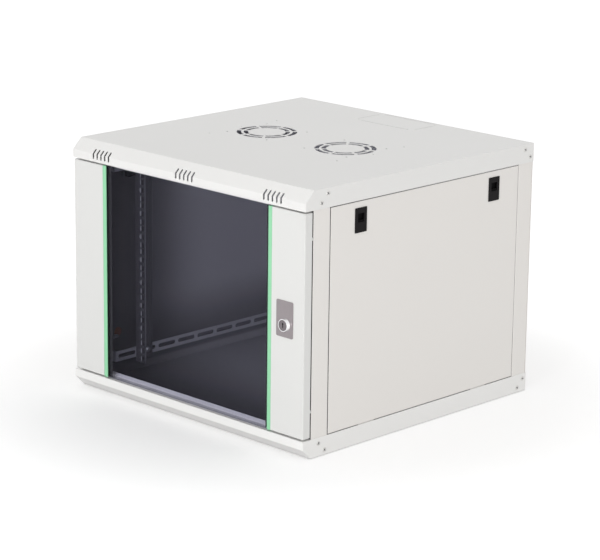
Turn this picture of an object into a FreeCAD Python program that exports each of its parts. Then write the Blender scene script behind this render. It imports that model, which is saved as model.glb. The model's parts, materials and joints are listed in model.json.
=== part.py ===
"""Wall mount network cabinet, nine rack units high, 600 mm wide and 600 mm deep.

Millimetres, +Z up, front towards -Y, origin at the middle of the footprint on the underside.
Every bent-sheet piece is a PartDesign body whose sketches and lengths are tied to the
spreadsheet "Sizes"; fasteners that repeat are groups of equal turned solids.
"""

import FreeCAD, Part
import math
import os

import Sketcher
from FreeCAD import Placement, Rotation, Vector

# Driving dimensions: alias, value in mm (or a count, or degrees), meaning.
DRIVING = (
    ("rail_hole_span", 465.1, "rack rail hole columns, centre to centre"),
    ("side_space", 66.25, "hole column to the outer face of the posts"),
    ("depth", 600.0, "outside depth of the covers"),
    ("rack_units", 9, "rack units between the covers"),
    ("rack_unit", 44.45, "height of one rack unit"),
    ("bay_margin", 5.95, "spare height above and below the rack units, both together"),
    ("bend_radius", 1.8, "outer radius of the sheet's bends"),
    ("gauge", 1.2, "sheet thickness of covers, posts, panels and door"),
    ("fit_gap", 0.3, "gap between pieces that move past each other"),
    ("pin_play", 0.05, "radial play of a pin, bolt or core in its hole"),
    ("cut_overrun", 1.0, "how far a cut runs past the faces that it opens"),
    # covers
    ("cover_flange", 35.0, "height of the cover's flanges"),
    ("chamfer_run", 20.0, "slanted front edge, measured along each face"),
    ("post_setback", 21.0, "front of the cover to the front of the post"),
    ("stop_height", 8.0, "height of the door stop that stands on the cover's lip"),
    ("stop_end_gap", 0.3, "end of the door stop to the post"),
    # fan openings and small holes in the top cover
    ("fan_offset", 101.0, "fan centre from the middle plane"),
    ("fan_setback", 5.0, "fan centre behind the middle of the depth"),
    ("fan_bolt_square", 105.0, "side of the square of fan bolts"),
    ("fan_bolt_radius", 2.25, "fan bolt hole"),
    ("ring_inner_low", 35.0, "inner ring of slots, inner radius"),
    ("ring_inner_high", 43.5, "inner ring of slots, outer radius"),
    ("ring_outer_low", 48.0, "outer ring of slots, inner radius"),
    ("ring_outer_high", 56.7, "outer ring of slots, outer radius"),
    ("ring_sectors", 7, "slots in each ring"),
    ("spoke_angle", 6.0, "angle that a spoke takes, degrees"),
    ("bracket_hole_reach", 63.0, "outer bracket holes beyond the fan's centre"),
    ("bracket_hole_step", 5.4, "middle bracket hole beyond the other two"),
    ("bracket_hole_spread", 88.0, "outer bracket holes from the fan's centre, along the depth"),
    ("bracket_hole_radius", 1.8, "outer bracket hole"),
    # cable knock-outs
    ("knockout_width", 145.0, "cable knock-out, across"),
    ("knockout_depth", 75.0, "cable knock-out, the other way"),
    ("knockout_edge", 10.0, "rear edge of the knock-out from the rear face"),
    ("knockout_slit", 1.6, "width of the slit round the knock-out"),
    ("knockout_bridge", 8.0, "metal left at each corner of the knock-out"),
    ("rear_knockout_drop", 136.0, "middle of the rear panel's knock-out below the top"),
    # kneed vent slots in the top cover's front edge
    ("vent_group_inset", 79.0, "outer groups of vent slots from the cover's side"),
    ("vent_pitch", 10.35, "vent slot pitch"),
    ("vents_per_group", 5, "vent slots in a group"),
    ("vent_slot_width", 4.2, "vent slot width"),
    ("vent_below_knee", 10.0, "vent slot length on the upright face"),
    ("vent_above_knee", 7.5, "height of the vent slot on the slanted face"),
    # posts
    ("front_post_depth", 41.0, "front post, along the depth"),
    ("rear_post_depth", 38.6, "rear post, along the depth"),
    ("post_face", 30.8, "post flange beside the door and at the rear"),
    ("post_inner_flange", 36.8, "post flange that carries the depth bars"),
    ("rest_tab_length", 10.0, "lanced tab that the side panel leans on, length"),
    ("rest_tab_height", 20.0, "lanced tab height"),
    ("rest_tab_spread", 90.0, "lanced tabs above and below the middle"),
    # wall fixing holes
    ("wall_hole_radius", 4.5, "wall fixing hole in the rear panel"),
    ("wall_hole_inset", 23.8, "wall fixing holes from the post's outer face"),
    ("wall_hole_spread", 150.0, "wall fixing holes above and below the middle"),
    ("wall_hole_extra", 1.0, "post hole larger than the panel hole by this radius"),
    # screws through the covers' side flanges
    ("screw_near", 10.0, "corner screw from the cover's outer face, the nearer one"),
    ("screw_far", 25.0, "corner screw from the cover's outer face, the farther one"),
    ("front_screw_first", 17.7, "first corner screw behind the post's front face"),
    ("front_screw_second", 33.0, "second corner screw behind the post's front face"),
    ("rear_screw_first", 11.0, "first corner screw from the rear face"),
    ("rear_screw_second", 26.0, "second corner screw from the rear face"),
    ("screw_radius", 2.4, "corner screw shank"),
    ("screw_head_radius", 4.3, "corner screw head"),
    ("screw_head_height", 1.6, "corner screw head height"),
    ("screw_length", 10.0, "corner screw length under the head"),
    # depth bars
    ("bar_gauge", 1.5, "sheet thickness of the depth bars"),
    ("bar_height", 20.0, "depth bar height"),
    ("bar_level", 20.0, "middle of the depth bar from the bay's floor or ceiling"),
    ("bar_tab_margin", 14.0, "depth bar's end tab beyond its bolt"),
    ("slot_length", 44.0, "depth bar slot length"),
    ("slot_width", 8.0, "depth bar slot width"),
    ("slot_pitch", 51.0, "depth bar slot pitch"),
    ("slot_margin", 5.0, "first slot from the bar's front tab"),
    ("bar_bolt_inset", 22.8, "bar bolt from the post's outer face"),
    # rack rails
    ("rail_gauge", 2.0, "rack rail sheet thickness"),
    ("rail_inner_margin", 7.55, "hole column to the rail's inner edge"),
    ("rail_outer_margin", 19.15, "hole column to the outer side of the rail"),
    ("rail_setback", 110.0, "front of the covers to the front of the rack rails"),
    ("rail_depth", 40.0, "rack rail side flange"),
    ("rail_end_gap", 1.5, "rack rail end to the bay's floor or ceiling"),
    ("cage_hole", 9.5, "square hole for cage nuts"),
    ("cage_outer_step", 6.35, "first and last cage hole from the edge of the rack unit"),
    ("rail_bolt_setback", 28.0, "rail bolt behind the rail's front face"),
    ("bolt_radius", 3.0, "M6 bolt shank"),
    ("bolt_head_radius", 5.5, "M6 bolt head"),
    ("bolt_head_height", 3.3, "M6 bolt head height"),
    ("bolt_tail", 12.0, "M6 bolt length under the head"),
    ("nut_flat_radius", 5.0, "M6 nut, half across its flats"),
    ("nut_height", 5.0, "M6 nut height"),
    # side panels
    ("panel_gap", 1.0, "side panel to the posts and to the top cover"),
    ("panel_foot_gap", 0.3, "side panel above the bottom cover"),
    ("panel_return", 15.0, "depth of the side panel's folded edge"),
    ("panel_tab_length", 40.0, "locating tab under the side panel, length"),
    ("panel_tab_drop", 8.0, "locating tab under the side panel, height"),
    ("panel_tab_spread", 150.0, "locating tabs from the panel's middle"),
    ("panel_tab_gap", 0.6, "locating tab to the bottom cover's flange"),
    # side panel latches
    ("latch_plate_wide", 29.0, "latch face plate, along the depth"),
    ("latch_plate_high", 44.0, "latch face plate height"),
    ("latch_plate_thick", 1.2, "latch face plate thickness"),
    ("latch_drop", 12.0, "top of the face plate below the panel's top"),
    ("latch_front_inset", 74.0, "front latch from the panel's front edge"),
    ("latch_rear_inset", 69.0, "rear latch from the panel's rear edge"),
    ("latch_rim", 1.8, "face plate beyond the latch body on each side"),
    ("latch_body_depth", 9.8, "latch body behind the panel's outer face"),
    ("latch_window_wide", 15.6, "finger window, along the depth"),
    ("latch_window_high", 16.0, "finger window height"),
    ("latch_corner", 1.0, "rounding of the latch face plate"),
    ("latch_window_drop", 10.0, "finger window below the top of the face plate"),
    ("slider_wide", 17.2, "latch slider, along the depth"),
    ("slider_thick", 2.4, "latch slider thickness"),
    ("slider_setback", 1.6, "slider's outer face behind the panel's outer face"),
    ("slider_top_gap", 0.7, "top of the lowered slider below the panel's top"),
    ("finger_bar_high", 4.0, "finger bar on the slider, height"),
    ("finger_bar_gap", 0.5, "finger bar from the lower edge of the window"),
    # door
    ("door_recess", 2.0, "door face behind the front of the covers"),
    ("door_depth", 17.0, "door thickness over its folded edges"),
    ("door_side_gap", 2.0, "door edge inside the covers' side faces"),
    ("door_top_gap", 3.5, "gap above the door"),
    ("door_foot_gap", 2.5, "gap below the door"),
    ("stile_width", 79.0, "steel stile of the door"),
    ("stile_lip", 13.0, "folded lip at the back of the stile"),
    ("glass_flange", 16.0, "stile flange that the glass is bonded to"),
    ("glass_thick", 4.0, "glass thickness"),
    ("glass_sink", 1.5, "glass behind the door face"),
    ("strip_width", 9.5, "visible width of the glass edge strip"),
    ("strip_cover", 3.3, "glass covered by the edge strip"),
    ("strip_gap", 0.2, "glass edge to the body of the strip"),
    ("strip_bevel", 0.8, "bevel along the strip's face"),
    # hinge
    ("hinge_edge", 6.0, "hinge axis from the door's side edge"),
    ("hinge_face", 7.0, "hinge axis behind the door face"),
    ("hinge_radius", 3.0, "hinge pin"),
    ("hinge_collar_radius", 4.3, "collar of the hinge pins"),
    ("hinge_collar_height", 2.5, "collar height"),
    ("hinge_reach", 4.0, "hinge pin beyond the cover's lip"),
    ("hinge_guide_drop", 30.0, "guide bracket below the door's top"),
    ("hinge_pull_drop", 14.0, "pull of the sprung pin below its guide bracket"),
    ("hinge_pull_length", 20.0, "pull of the sprung pin"),
    ("hinge_pull_radius", 2.0, "pull of the sprung pin, radius"),
    ("bracket_gauge", 1.5, "guide bracket thickness"),
    ("bracket_length", 16.0, "guide bracket along the door"),
    ("bracket_reach", 11.0, "guide bracket behind the stile's skin"),
    ("bracket_height", 25.0, "guide bracket height"),
    ("spring_wire", 0.5, "hinge spring wire radius"),
    ("spring_turns", 6, "hinge spring turns"),
    ("washer_radius", 5.5, "hinge washer"),
    # lock
    ("lock_inset", 46.0, "lock axis from the door's side edge"),
    ("lock_drop", 3.0, "lock axis below the middle of the height"),
    ("lock_plate_wide", 40.0, "lock plate width"),
    ("lock_plate_high", 65.0, "lock plate height"),
    ("lock_plate_below", 22.0, "lock plate below the lock axis"),
    ("lock_plate_thick", 1.0, "lock plate thickness"),
    ("lock_plate_corner", 3.0, "lock plate corner radius"),
    ("bezel_radius", 13.0, "lock bezel at the plate"),
    ("bezel_front_radius", 11.0, "lock bezel at its front"),
    ("bezel_height", 4.5, "lock bezel height"),
    ("barrel_radius", 11.0, "lock barrel"),
    ("barrel_length", 23.0, "lock barrel behind its bezel"),
    ("core_radius", 9.8, "lock core"),
    ("core_sink", 0.3, "lock core face behind the bezel"),
    ("core_overrun", 0.5, "lock core beyond the barrel"),
    ("keyway_wide", 1.8, "keyway width"),
    ("keyway_high", 9.0, "keyway height"),
    ("keyway_depth", 9.0, "keyway depth"),
    ("keyway_head_radius", 1.7, "round head of the keyway"),
    ("lock_nut_flat_radius", 13.5, "lock nut, half across its flats"),
    ("lock_nut_height", 5.0, "lock nut height"),
    ("cam_hub_radius", 9.0, "cam hub"),
    ("cam_length", 36.0, "cam from the lock axis to its tip"),
    ("cam_width", 12.0, "cam width"),
    ("cam_thick", 2.0, "cam thickness"),
    ("cam_screw_radius", 2.5, "cam screw shank"),
    ("cam_screw_reach", 8.0, "cam screw in the core"),
    ("cam_screw_head_radius", 4.6, "cam screw head"),
    ("cam_screw_head_height", 2.4, "cam screw head height"),
    # small pieces
    ("bumper_radius", 4.0, "door bumper"),
    ("bumper_inset", 4.8, "door bumper from the post's outer face"),
    ("bumper_level", 85.0, "door bumpers from the floor and from the top"),
    ("lip_bumper_height", 2.5, "bumper under the top cover's lip"),
    ("lip_bumper_radius", 3.0, "bumper under the top cover's lip, radius"),
    ("lip_bumper_setback", 10.0, "bumper under the lip, from the front"),
    ("lip_bumper_right", 84.0, "right bumper under the lip, from the cover's side"),
    ("lip_bumper_left", 117.0, "left bumper under the lip, from the middle plane"),
    ("stud_level", 88.0, "earth stud above the floor"),
    ("stud_inset", 26.8, "earth stud from the post's outer face"),
    ("stud_length", 20.0, "earth stud behind the post flange"),
    ("stud_head_radius", 5.0, "earth stud head"),
    ("stud_head_height", 1.8, "earth stud head height"),
    ("stud_washer_radius", 6.2, "earth stud washer"),
    ("stud_washer_height", 1.0, "earth stud washer height"),
    ("rear_screw_head_radius", 4.0, "rear panel screw head"),
    ("rear_screw_head_height", 1.2, "rear panel screw head height"),
    ("rear_screw_reach", 6.0, "rear panel screw under its head"),
    ("rear_screw_spread", 190.0, "rear panel screws above and below the middle"),
    ("rear_screw_inset", 12.0, "rear panel screws from the post's outer face"),
)

doc = FreeCAD.newDocument("wall_mount_network_cabinet")
sheet = doc.addObject("Spreadsheet::Sheet", "Sizes")


class Size:
    """A number together with the spreadsheet formula that it comes from."""

    def __init__(self, value, text):
        self.value = value
        self.text = text

    def __add__(self, other):
        other = as_size(other)
        return Size(self.value + other.value, f"({self.text} + {other.text})")

    def __sub__(self, other):
        other = as_size(other)
        return Size(self.value - other.value, f"({self.text} - {other.text})")

    def __mul__(self, other):
        other = as_size(other)
        return Size(self.value * other.value, f"({self.text} * {other.text})")

    def __truediv__(self, other):
        other = as_size(other)
        return Size(self.value / other.value, f"({self.text} / {other.text})")

    def __neg__(self):
        return Size(-self.value, f"(0 - {self.text})")

    def __radd__(self, other):
        return as_size(other) + self

    def __rsub__(self, other):
        return as_size(other) - self

    def __rmul__(self, other):
        return as_size(other) * self


def as_size(number):
    """Wraps a plain number, and leaves a Size alone."""
    if isinstance(number, Size):
        return number
    return Size(float(number), f"({number})")


class Table:
    """The driving dimensions as attributes, filled while the spreadsheet is written."""


S = Table()
for row, (alias, value, meaning) in enumerate(DRIVING, start=1):
    sheet.set(f"A{row}", meaning)
    sheet.set(f"B{row}", str(value))
    sheet.setAlias(f"B{row}", alias)
    setattr(S, alias, Size(float(value), f"Sizes.{alias}"))
doc.recompute()

# ---------------------------------------------------------------- places shared by several pieces
height = S.cover_flange * 2 + S.rack_units * S.rack_unit + S.bay_margin
inner_half = S.rail_hole_span / 2 + S.side_space
half_width = inner_half + S.gauge
front = -S.depth / 2
rear = S.depth / 2
bay_floor = S.cover_flange
bay_ceiling = height - S.cover_flange
middle_level = height / 2

post_front = front + S.post_setback
front_post_end = post_front + S.front_post_depth
rear_panel_front = rear - S.gauge * 2
rear_post_start = rear_panel_front - S.rear_post_depth

panel_start = front_post_end + S.panel_gap
panel_end = rear_post_start - S.panel_gap
panel_middle = (panel_start + panel_end) / 2
panel_low = bay_floor + S.panel_foot_gap
panel_high = bay_ceiling - S.panel_gap
panel_inner = inner_half - S.panel_return

door_face = front + S.door_recess
door_back = door_face + S.door_depth
door_side = half_width - S.door_side_gap
door_low = bay_floor + S.door_foot_gap
door_high = bay_ceiling - S.door_top_gap
stile_inner = door_side - S.stile_width
glass_face = door_face + S.glass_sink
glass_back = glass_face + S.glass_thick
strip_edge = stile_inner - S.strip_width
glass_edge = strip_edge + S.strip_cover

hinge_x = S.hinge_edge - door_side
hinge_y = door_face + S.hinge_face
lock_x = door_side - S.lock_inset
lock_level = middle_level - S.lock_drop
barrel_start = door_face - S.lock_plate_thick
barrel_end = barrel_start + S.barrel_length
core_end = barrel_end + S.core_overrun
cam_end = core_end + S.cam_thick

rail_side = S.rail_hole_span / 2 + S.rail_outer_margin
bar_inner = rail_side + S.fit_gap
bar_outer = bar_inner + S.bar_gauge
bar_front = front_post_end - S.gauge - S.bar_gauge
bar_rear = rear_post_start + S.gauge + S.bar_gauge
bar_levels = {"lower": bay_floor + S.bar_level, "upper": bay_ceiling - S.bar_level}
bar_bolt_x = inner_half - S.bar_bolt_inset

rail_front = front + S.rail_setback
rail_bolt_y = rail_front + S.rail_bolt_setback

latch_top = panel_high - S.latch_drop
latch_bottom = latch_top - S.latch_plate_high
latch_places = {"front": panel_start + S.latch_front_inset, "rear": panel_end - S.latch_rear_inset}
slider_outer = inner_half - S.slider_setback
slider_top = panel_high - S.slider_top_gap
window_top = latch_top - S.latch_window_drop
window_bottom = window_top - S.latch_window_high
latch_body_bottom = latch_bottom + S.latch_rim

SIDES = {"left": -1, "right": 1}


# ---------------------------------------------------------------- drawing and feature helpers
def new_body(label):
    """A PartDesign body that becomes one sub-part."""
    body = doc.addObject("PartDesign::Body", label)
    body.Label = label
    return body


def on_plane(body, plane, start, shift=(0, 0)):
    """A sketch parallel to an origin plane, at a coordinate along that plane's world axis."""
    sketch = body.newObject("Sketcher::SketchObject", f"{body.Label}_sketch")
    support = next(part for part in body.Origin.OriginFeatures if part.Role == f"{plane}_Plane")
    sketch.AttachmentSupport = (support, [""])
    sketch.MapMode = "FlatFace"
    lift = as_size(start) * (-1 if plane == "XZ" else 1)
    along = as_size(shift[0])
    up = as_size(shift[1])
    sketch.AttachmentOffset = Placement(Vector(along.value, up.value, lift.value), Rotation())
    for axis, size in (("x", along), ("y", up), ("z", lift)):
        sketch.setExpression(f"AttachmentOffset.Base.{axis}", size.text)
    return sketch


def tie_point(sketch, geometry, point, x, y):
    """Ties one point of a sketch to the formulas of its two coordinates."""
    for kind, size in (("DistanceX", as_size(x)), ("DistanceY", as_size(y))):
        index = sketch.addConstraint(Sketcher.Constraint(kind, -1, 1, geometry, point, size.value))
        sketch.setExpression(f"Constraints[{index}]", size.text)


def draw_polygon(sketch, points):
    """A closed outline of straight edges."""
    corners = [Vector(as_size(x).value, as_size(y).value, 0) for x, y in points]
    count = len(corners)
    lines = [Part.LineSegment(corners[i], corners[(i + 1) % count]) for i in range(count)]
    first = sketch.addGeometry(lines)[0]
    joins = [
        Sketcher.Constraint("Coincident", first + i, 2, first + (i + 1) % count, 1)
        for i in range(count)
    ]
    sketch.addConstraint(joins)
    for i, (x, y) in enumerate(points):
        tie_point(sketch, first + i, 1, x, y)


def draw_rectangle(sketch, low, high):
    """An upright rectangle between two corners."""
    draw_polygon(sketch, [low, (high[0], low[1]), high, (low[0], high[1])])


def draw_centred(sketch, centre, size):
    """An upright rectangle about a centre."""
    x, y = (as_size(value) for value in centre)
    half_x, half_y = (as_size(value) / 2 for value in size)
    draw_rectangle(sketch, (x - half_x, y - half_y), (x + half_x, y + half_y))


def draw_circle(sketch, x, y, radius):
    """A circle with its centre and radius tied to formulas."""
    radius = as_size(radius)
    centre = Vector(as_size(x).value, as_size(y).value, 0)
    circle = sketch.addGeometry(Part.Circle(centre, Vector(0, 0, 1), radius.value))
    index = sketch.addConstraint(Sketcher.Constraint("Radius", circle, radius.value))
    sketch.setExpression(f"Constraints[{index}]", radius.text)
    tie_point(sketch, circle, 3, x, y)


def draw_slot(sketch, centre, length, breadth, upright):
    """A slot with round ends, along the sketch's x axis or upright along its y axis."""
    x, y = (as_size(value) for value in centre)
    radius = as_size(breadth) / 2
    reach = as_size(length) / 2 - radius
    step_x, step_y = (0, reach) if upright else (reach, 0)
    turn = math.pi / 2 if upright else 0
    ends = []
    for sign, start in ((1, -math.pi / 2), (-1, math.pi / 2)):
        end_x, end_y = x + as_size(step_x) * sign, y + as_size(step_y) * sign
        circle = Part.Circle(Vector(end_x.value, end_y.value, 0), Vector(0, 0, 1), radius.value)
        arc = Part.ArcOfCircle(circle, start + turn, start + turn + math.pi)
        ends.append((sketch.addGeometry(arc), arc, end_x, end_y))
    (first, first_arc, *_), (second, second_arc, *_) = ends
    side_one = sketch.addGeometry(Part.LineSegment(first_arc.EndPoint, second_arc.StartPoint))
    side_two = sketch.addGeometry(Part.LineSegment(second_arc.EndPoint, first_arc.StartPoint))
    sketch.addConstraint([
        Sketcher.Constraint("Tangent", first, 2, side_one, 1),
        Sketcher.Constraint("Tangent", side_one, 2, second, 1),
        Sketcher.Constraint("Tangent", second, 2, side_two, 1),
        Sketcher.Constraint("Tangent", side_two, 2, first, 1),
    ])
    index = sketch.addConstraint(Sketcher.Constraint("Radius", first, radius.value))
    sketch.setExpression(f"Constraints[{index}]", radius.text)
    for arc_index, _, end_x, end_y in ends:
        tie_point(sketch, arc_index, 3, end_x, end_y)


def draw_ring_sector(sketch, low, high, start_angle, end_angle):
    """A slot between two radii about the sketch's own origin, between two angles in degrees."""
    angles = [math.radians(angle) for angle in (start_angle, end_angle)]
    origin = Vector(0, 0, 0)
    arcs = []
    for radius in (low, high):
        circle = Part.Circle(origin, Vector(0, 0, 1), radius.value)
        arcs.append(sketch.addGeometry(Part.ArcOfCircle(circle, *angles)))
    for angle in angles:
        way = Vector(math.cos(angle), math.sin(angle), 0)
        arcs.append(sketch.addGeometry(Part.LineSegment(way * low.value, way * high.value)))
    inner, outer, start_line, end_line = arcs
    sketch.addConstraint([
        Sketcher.Constraint("Coincident", inner, 3, -1, 1),
        Sketcher.Constraint("Coincident", outer, 3, -1, 1),
        Sketcher.Constraint("Coincident", inner, 1, start_line, 1),
        Sketcher.Constraint("Coincident", outer, 1, start_line, 2),
        Sketcher.Constraint("Coincident", inner, 2, end_line, 1),
        Sketcher.Constraint("Coincident", outer, 2, end_line, 2),
    ])
    for arc, radius in ((inner, low), (outer, high)):
        index = sketch.addConstraint(Sketcher.Constraint("Radius", arc, radius.value))
        sketch.setExpression(f"Constraints[{index}]", radius.text)


def finish_feature(body, feature, sketch, length):
    """Gives a pad or pocket its profile and length, and makes it the body's tip."""
    length = as_size(length)
    feature.Profile = sketch
    feature.Length = length.value
    feature.setExpression("Length", length.text)
    body.Tip = feature
    return feature


def runs_backwards(sketch):
    """True for a sketch whose own normal points along a negative world axis."""
    return sketch.AttachmentSupport[0][0].Role == "XZ_Plane"


def pad(body, sketch, length):
    """Adds material from the sketch towards the positive world axis."""
    feature = body.newObject("PartDesign::Pad", f"{body.Label}_pad")
    feature.Reversed = runs_backwards(sketch)
    return finish_feature(body, feature, sketch, length)


def pocket(body, sketch, length):
    """Cuts material from the sketch towards the positive world axis."""
    feature = body.newObject("PartDesign::Pocket", f"{body.Label}_pocket")
    feature.Reversed = not runs_backwards(sketch)
    return finish_feature(body, feature, sketch, length)


def turn(body, sketch):
    """Turns the sketch about its own upright axis."""
    feature = body.newObject("PartDesign::Revolution", f"{body.Label}_turn")
    feature.Profile = sketch
    feature.ReferenceAxis = (sketch, ["V_Axis"])
    feature.Angle = 360
    body.Tip = feature
    return feature


def is_near(first, second, third):
    """True if three coordinates agree to a hundredth of a millimetre."""
    return abs(first - second) < 0.01 and abs(first - third) < 0.01


def round_edges(body, feature, radius, chosen):
    """Rounds the straight edges whose two end points `chosen` accepts."""
    doc.recompute()
    names = []
    for number, edge in enumerate(feature.Shape.Edges, start=1):
        ends = [vertex.Point for vertex in edge.Vertexes]
        if len(ends) == 2 and isinstance(edge.Curve, Part.Line) and chosen(*ends):
            names.append(f"Edge{number}")
    fillet = body.newObject("PartDesign::Fillet", f"{body.Label}_rounding")
    fillet.Base = (feature, names)
    fillet.Radius = radius.value
    fillet.setExpression("Radius", radius.text)
    body.Tip = fillet
    return fillet


def repeat_along(body, feature, sketch, axis, span, count):
    """Repeats a feature in a row: `count` copies over `span`, along an axis of the sketch."""
    span = as_size(span)
    pattern = body.newObject("PartDesign::LinearPattern", f"{body.Label}_row")
    pattern.Originals = [feature]
    pattern.Direction = (sketch, [axis])
    pattern.Length = span.value
    pattern.setExpression("Length", span.text)
    pattern.Occurrences = int(count.value)
    body.Tip = pattern
    return pattern


def repeat_round(body, feature, sketch, count):
    """Repeats a feature round the sketch's own normal."""
    pattern = body.newObject("PartDesign::PolarPattern", f"{body.Label}_ring")
    pattern.Originals = [feature]
    pattern.Axis = (sketch, ["N_Axis"])
    pattern.Angle = 360
    pattern.Occurrences = int(count.value)
    body.Tip = pattern
    return pattern


def turned_solid(profile, base, axis):
    """A solid of revolution from (radius, height) corners, standing at a base along an axis."""
    corners = [Vector(radius, 0, level) for radius, level in profile]
    face = Part.Face(Part.makePolygon(corners + corners[:1]))
    solid = face.revolve(Vector(0, 0, 0), Vector(0, 0, 1), 360)
    solid.Placement = Placement(base, Rotation(Vector(0, 0, 1), axis))
    return solid


def hexagon_nut(flat_radius, bore_radius, thickness, base, axis):
    """A plain hexagon nut standing at a base along an axis."""
    corner_radius = flat_radius / math.cos(math.pi / 6)
    corners = [
        Vector(corner_radius * math.cos(math.pi / 3 * i), corner_radius * math.sin(math.pi / 3 * i), 0)
        for i in range(7)
    ]
    prism = Part.Face(Part.makePolygon(corners)).extrude(Vector(0, 0, thickness))
    nut = prism.cut(Part.makeCylinder(bore_radius, thickness))
    nut.Placement = Placement(base, Rotation(Vector(0, 0, 1), axis))
    return nut


def group(label, solids):
    """One node that holds several equal fasteners as separate solids."""
    feature = doc.addObject("Part::Feature", label)
    feature.Label = label
    feature.Shape = Part.makeCompound(solids)
    return feature


def point(x, y, z):
    """A vector from three sizes."""
    return Vector(*(as_size(value).value for value in (x, y, z)))


# ---------------------------------------------------------------- covers
def cover_screw_places():
    """(depth coordinate, distance from the cover's outer face) of the corner screws."""
    return [
        (post_front + S.front_screw_first, S.screw_far),
        (post_front + S.front_screw_second, S.screw_near),
        (rear - S.rear_screw_second, S.screw_near),
        (rear - S.rear_screw_first, S.screw_far),
    ]


def cut_knockout(body, plane, face, centre):
    """Slits round a cable knock-out; the metal left at its corners holds it."""
    x, y = (as_size(value) for value in centre)
    sketch = on_plane(body, plane, face - S.cut_overrun)
    half_x = S.knockout_width / 2
    half_y = S.knockout_depth / 2
    for sign in (-1, 1):
        draw_centred(sketch, (x, y + half_y * sign),
                     (S.knockout_width - S.knockout_bridge * 2, S.knockout_slit))
        draw_centred(sketch, (x + half_x * sign, y),
                     (S.knockout_slit, S.knockout_depth - S.knockout_bridge * 2))
    return pocket(body, sketch, S.gauge + S.cut_overrun * 2)


def make_cover(label, is_top):
    """Folded sheet cover: plate, slanted front edge, flanges, door lip and door stop."""
    body = new_body(label)

    def level(distance):
        """Height at a distance from the cover's outer face."""
        return height - distance if is_top else as_size(distance)

    shell = on_plane(body, "YZ", -half_width)
    draw_polygon(shell, [
        (front, level(S.cover_flange)), (front, level(S.chamfer_run)),
        (front + S.chamfer_run, level(0)), (rear, level(0)), (rear, level(S.cover_flange)),
    ])
    outer = pad(body, shell, half_width * 2)
    open_level = level(S.cover_flange).value
    round_edges(body, outer, S.bend_radius, lambda a, b: not is_near(a.z, open_level, b.z))

    slant_inset = S.gauge * (math.sqrt(2) - 1)
    hollow = on_plane(body, "YZ", -inner_half)
    draw_polygon(hollow, [
        (front + S.gauge, level(S.cover_flange + S.cut_overrun)),
        (front + S.gauge, level(S.chamfer_run + slant_inset)),
        (front + S.chamfer_run + slant_inset, level(S.gauge)),
        (rear - S.gauge, level(S.gauge)), (rear - S.gauge, level(S.cover_flange + S.cut_overrun)),
    ])
    pocket(body, hollow, inner_half * 2)

    lip = on_plane(body, "YZ", -inner_half)
    draw_rectangle(lip, (front + S.gauge, level(S.cover_flange)),
                   (post_front, level(S.cover_flange - S.gauge)))
    pad(body, lip, inner_half * 2)
    stop_half = inner_half - S.post_face - S.stop_end_gap
    stop = on_plane(body, "YZ", -stop_half)
    draw_rectangle(stop, (post_front, level(S.cover_flange + S.stop_height)),
                   (post_front + S.gauge, level(S.cover_flange - S.gauge)))
    pad(body, stop, stop_half * 2)

    lip_low = bay_ceiling if is_top else bay_floor - S.gauge
    pin_hole = on_plane(body, "XY", lip_low - S.cut_overrun)
    draw_circle(pin_hole, hinge_x, hinge_y, S.hinge_radius + S.pin_play)
    pocket(body, pin_hole, S.gauge + S.cut_overrun * 2)

    screw_holes = on_plane(body, "YZ", -half_width - S.cut_overrun)
    for y, distance in cover_screw_places():
        draw_circle(screw_holes, y, level(distance), S.screw_radius + S.pin_play)
    pocket(body, screw_holes, half_width * 2 + S.cut_overrun * 2)

    plate_low = height - S.gauge if is_top else as_size(0)
    knockout_y = rear - S.knockout_edge - S.knockout_depth / 2
    cut_knockout(body, "XY", plate_low, (0, knockout_y))
    return body, plate_low


def cut_fan_opening(body, plate_low, side):
    """Two rings of slots for a fan, with its four bolt holes and three bracket holes."""
    centre = (S.fan_offset * side, S.fan_setback)
    rings = on_plane(body, "XY", plate_low - S.cut_overrun, centre)
    sector = 360 / S.ring_sectors.value
    start = 0 if side < 0 else 180 - sector * (S.ring_sectors.value // 2)
    edges = (start + S.spoke_angle.value / 2, start + sector - S.spoke_angle.value / 2)
    draw_ring_sector(rings, S.ring_inner_low, S.ring_inner_high, *edges)
    draw_ring_sector(rings, S.ring_outer_low, S.ring_outer_high, *edges)
    slots = pocket(body, rings, S.gauge + S.cut_overrun * 2)
    repeat_round(body, slots, rings, S.ring_sectors)

    holes = on_plane(body, "XY", plate_low - S.cut_overrun)
    for across in (-1, 1):
        for along in (-1, 1):
            draw_circle(holes, centre[0] + S.fan_bolt_square / 2 * across,
                        centre[1] + S.fan_bolt_square / 2 * along, S.fan_bolt_radius)
    for along in (-1, 0, 1):
        outward = S.fan_offset + S.bracket_hole_reach + (0 if along else S.bracket_hole_step)
        draw_circle(holes, outward * side, centre[1] + S.bracket_hole_spread * along,
                    S.bracket_hole_radius)
    pocket(body, holes, S.gauge + S.cut_overrun * 2)


def cut_front_vents(body):
    """Three groups of slots that run over the knee of the front edge."""
    knee = height - S.chamfer_run
    bottom = knee - S.vent_below_knee
    top = knee + S.vent_above_knee
    span = S.vent_pitch * (S.vents_per_group - 1)
    for place in (-1, 0, 1):
        slot = on_plane(body, "XZ", front - S.cut_overrun)
        first_x = (half_width - S.vent_group_inset) * place - span / 2
        draw_slot(slot, (first_x, (bottom + top) / 2), top - bottom, S.vent_slot_width, True)
        cut = pocket(body, slot, S.chamfer_run)
        repeat_along(body, cut, slot, "H_Axis", span, S.vents_per_group)


top_cover, top_plate_low = make_cover("top_cover", True)
for side in SIDES.values():
    cut_fan_opening(top_cover, top_plate_low, side)
cut_front_vents(top_cover)
make_cover("bottom_cover", False)


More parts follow.
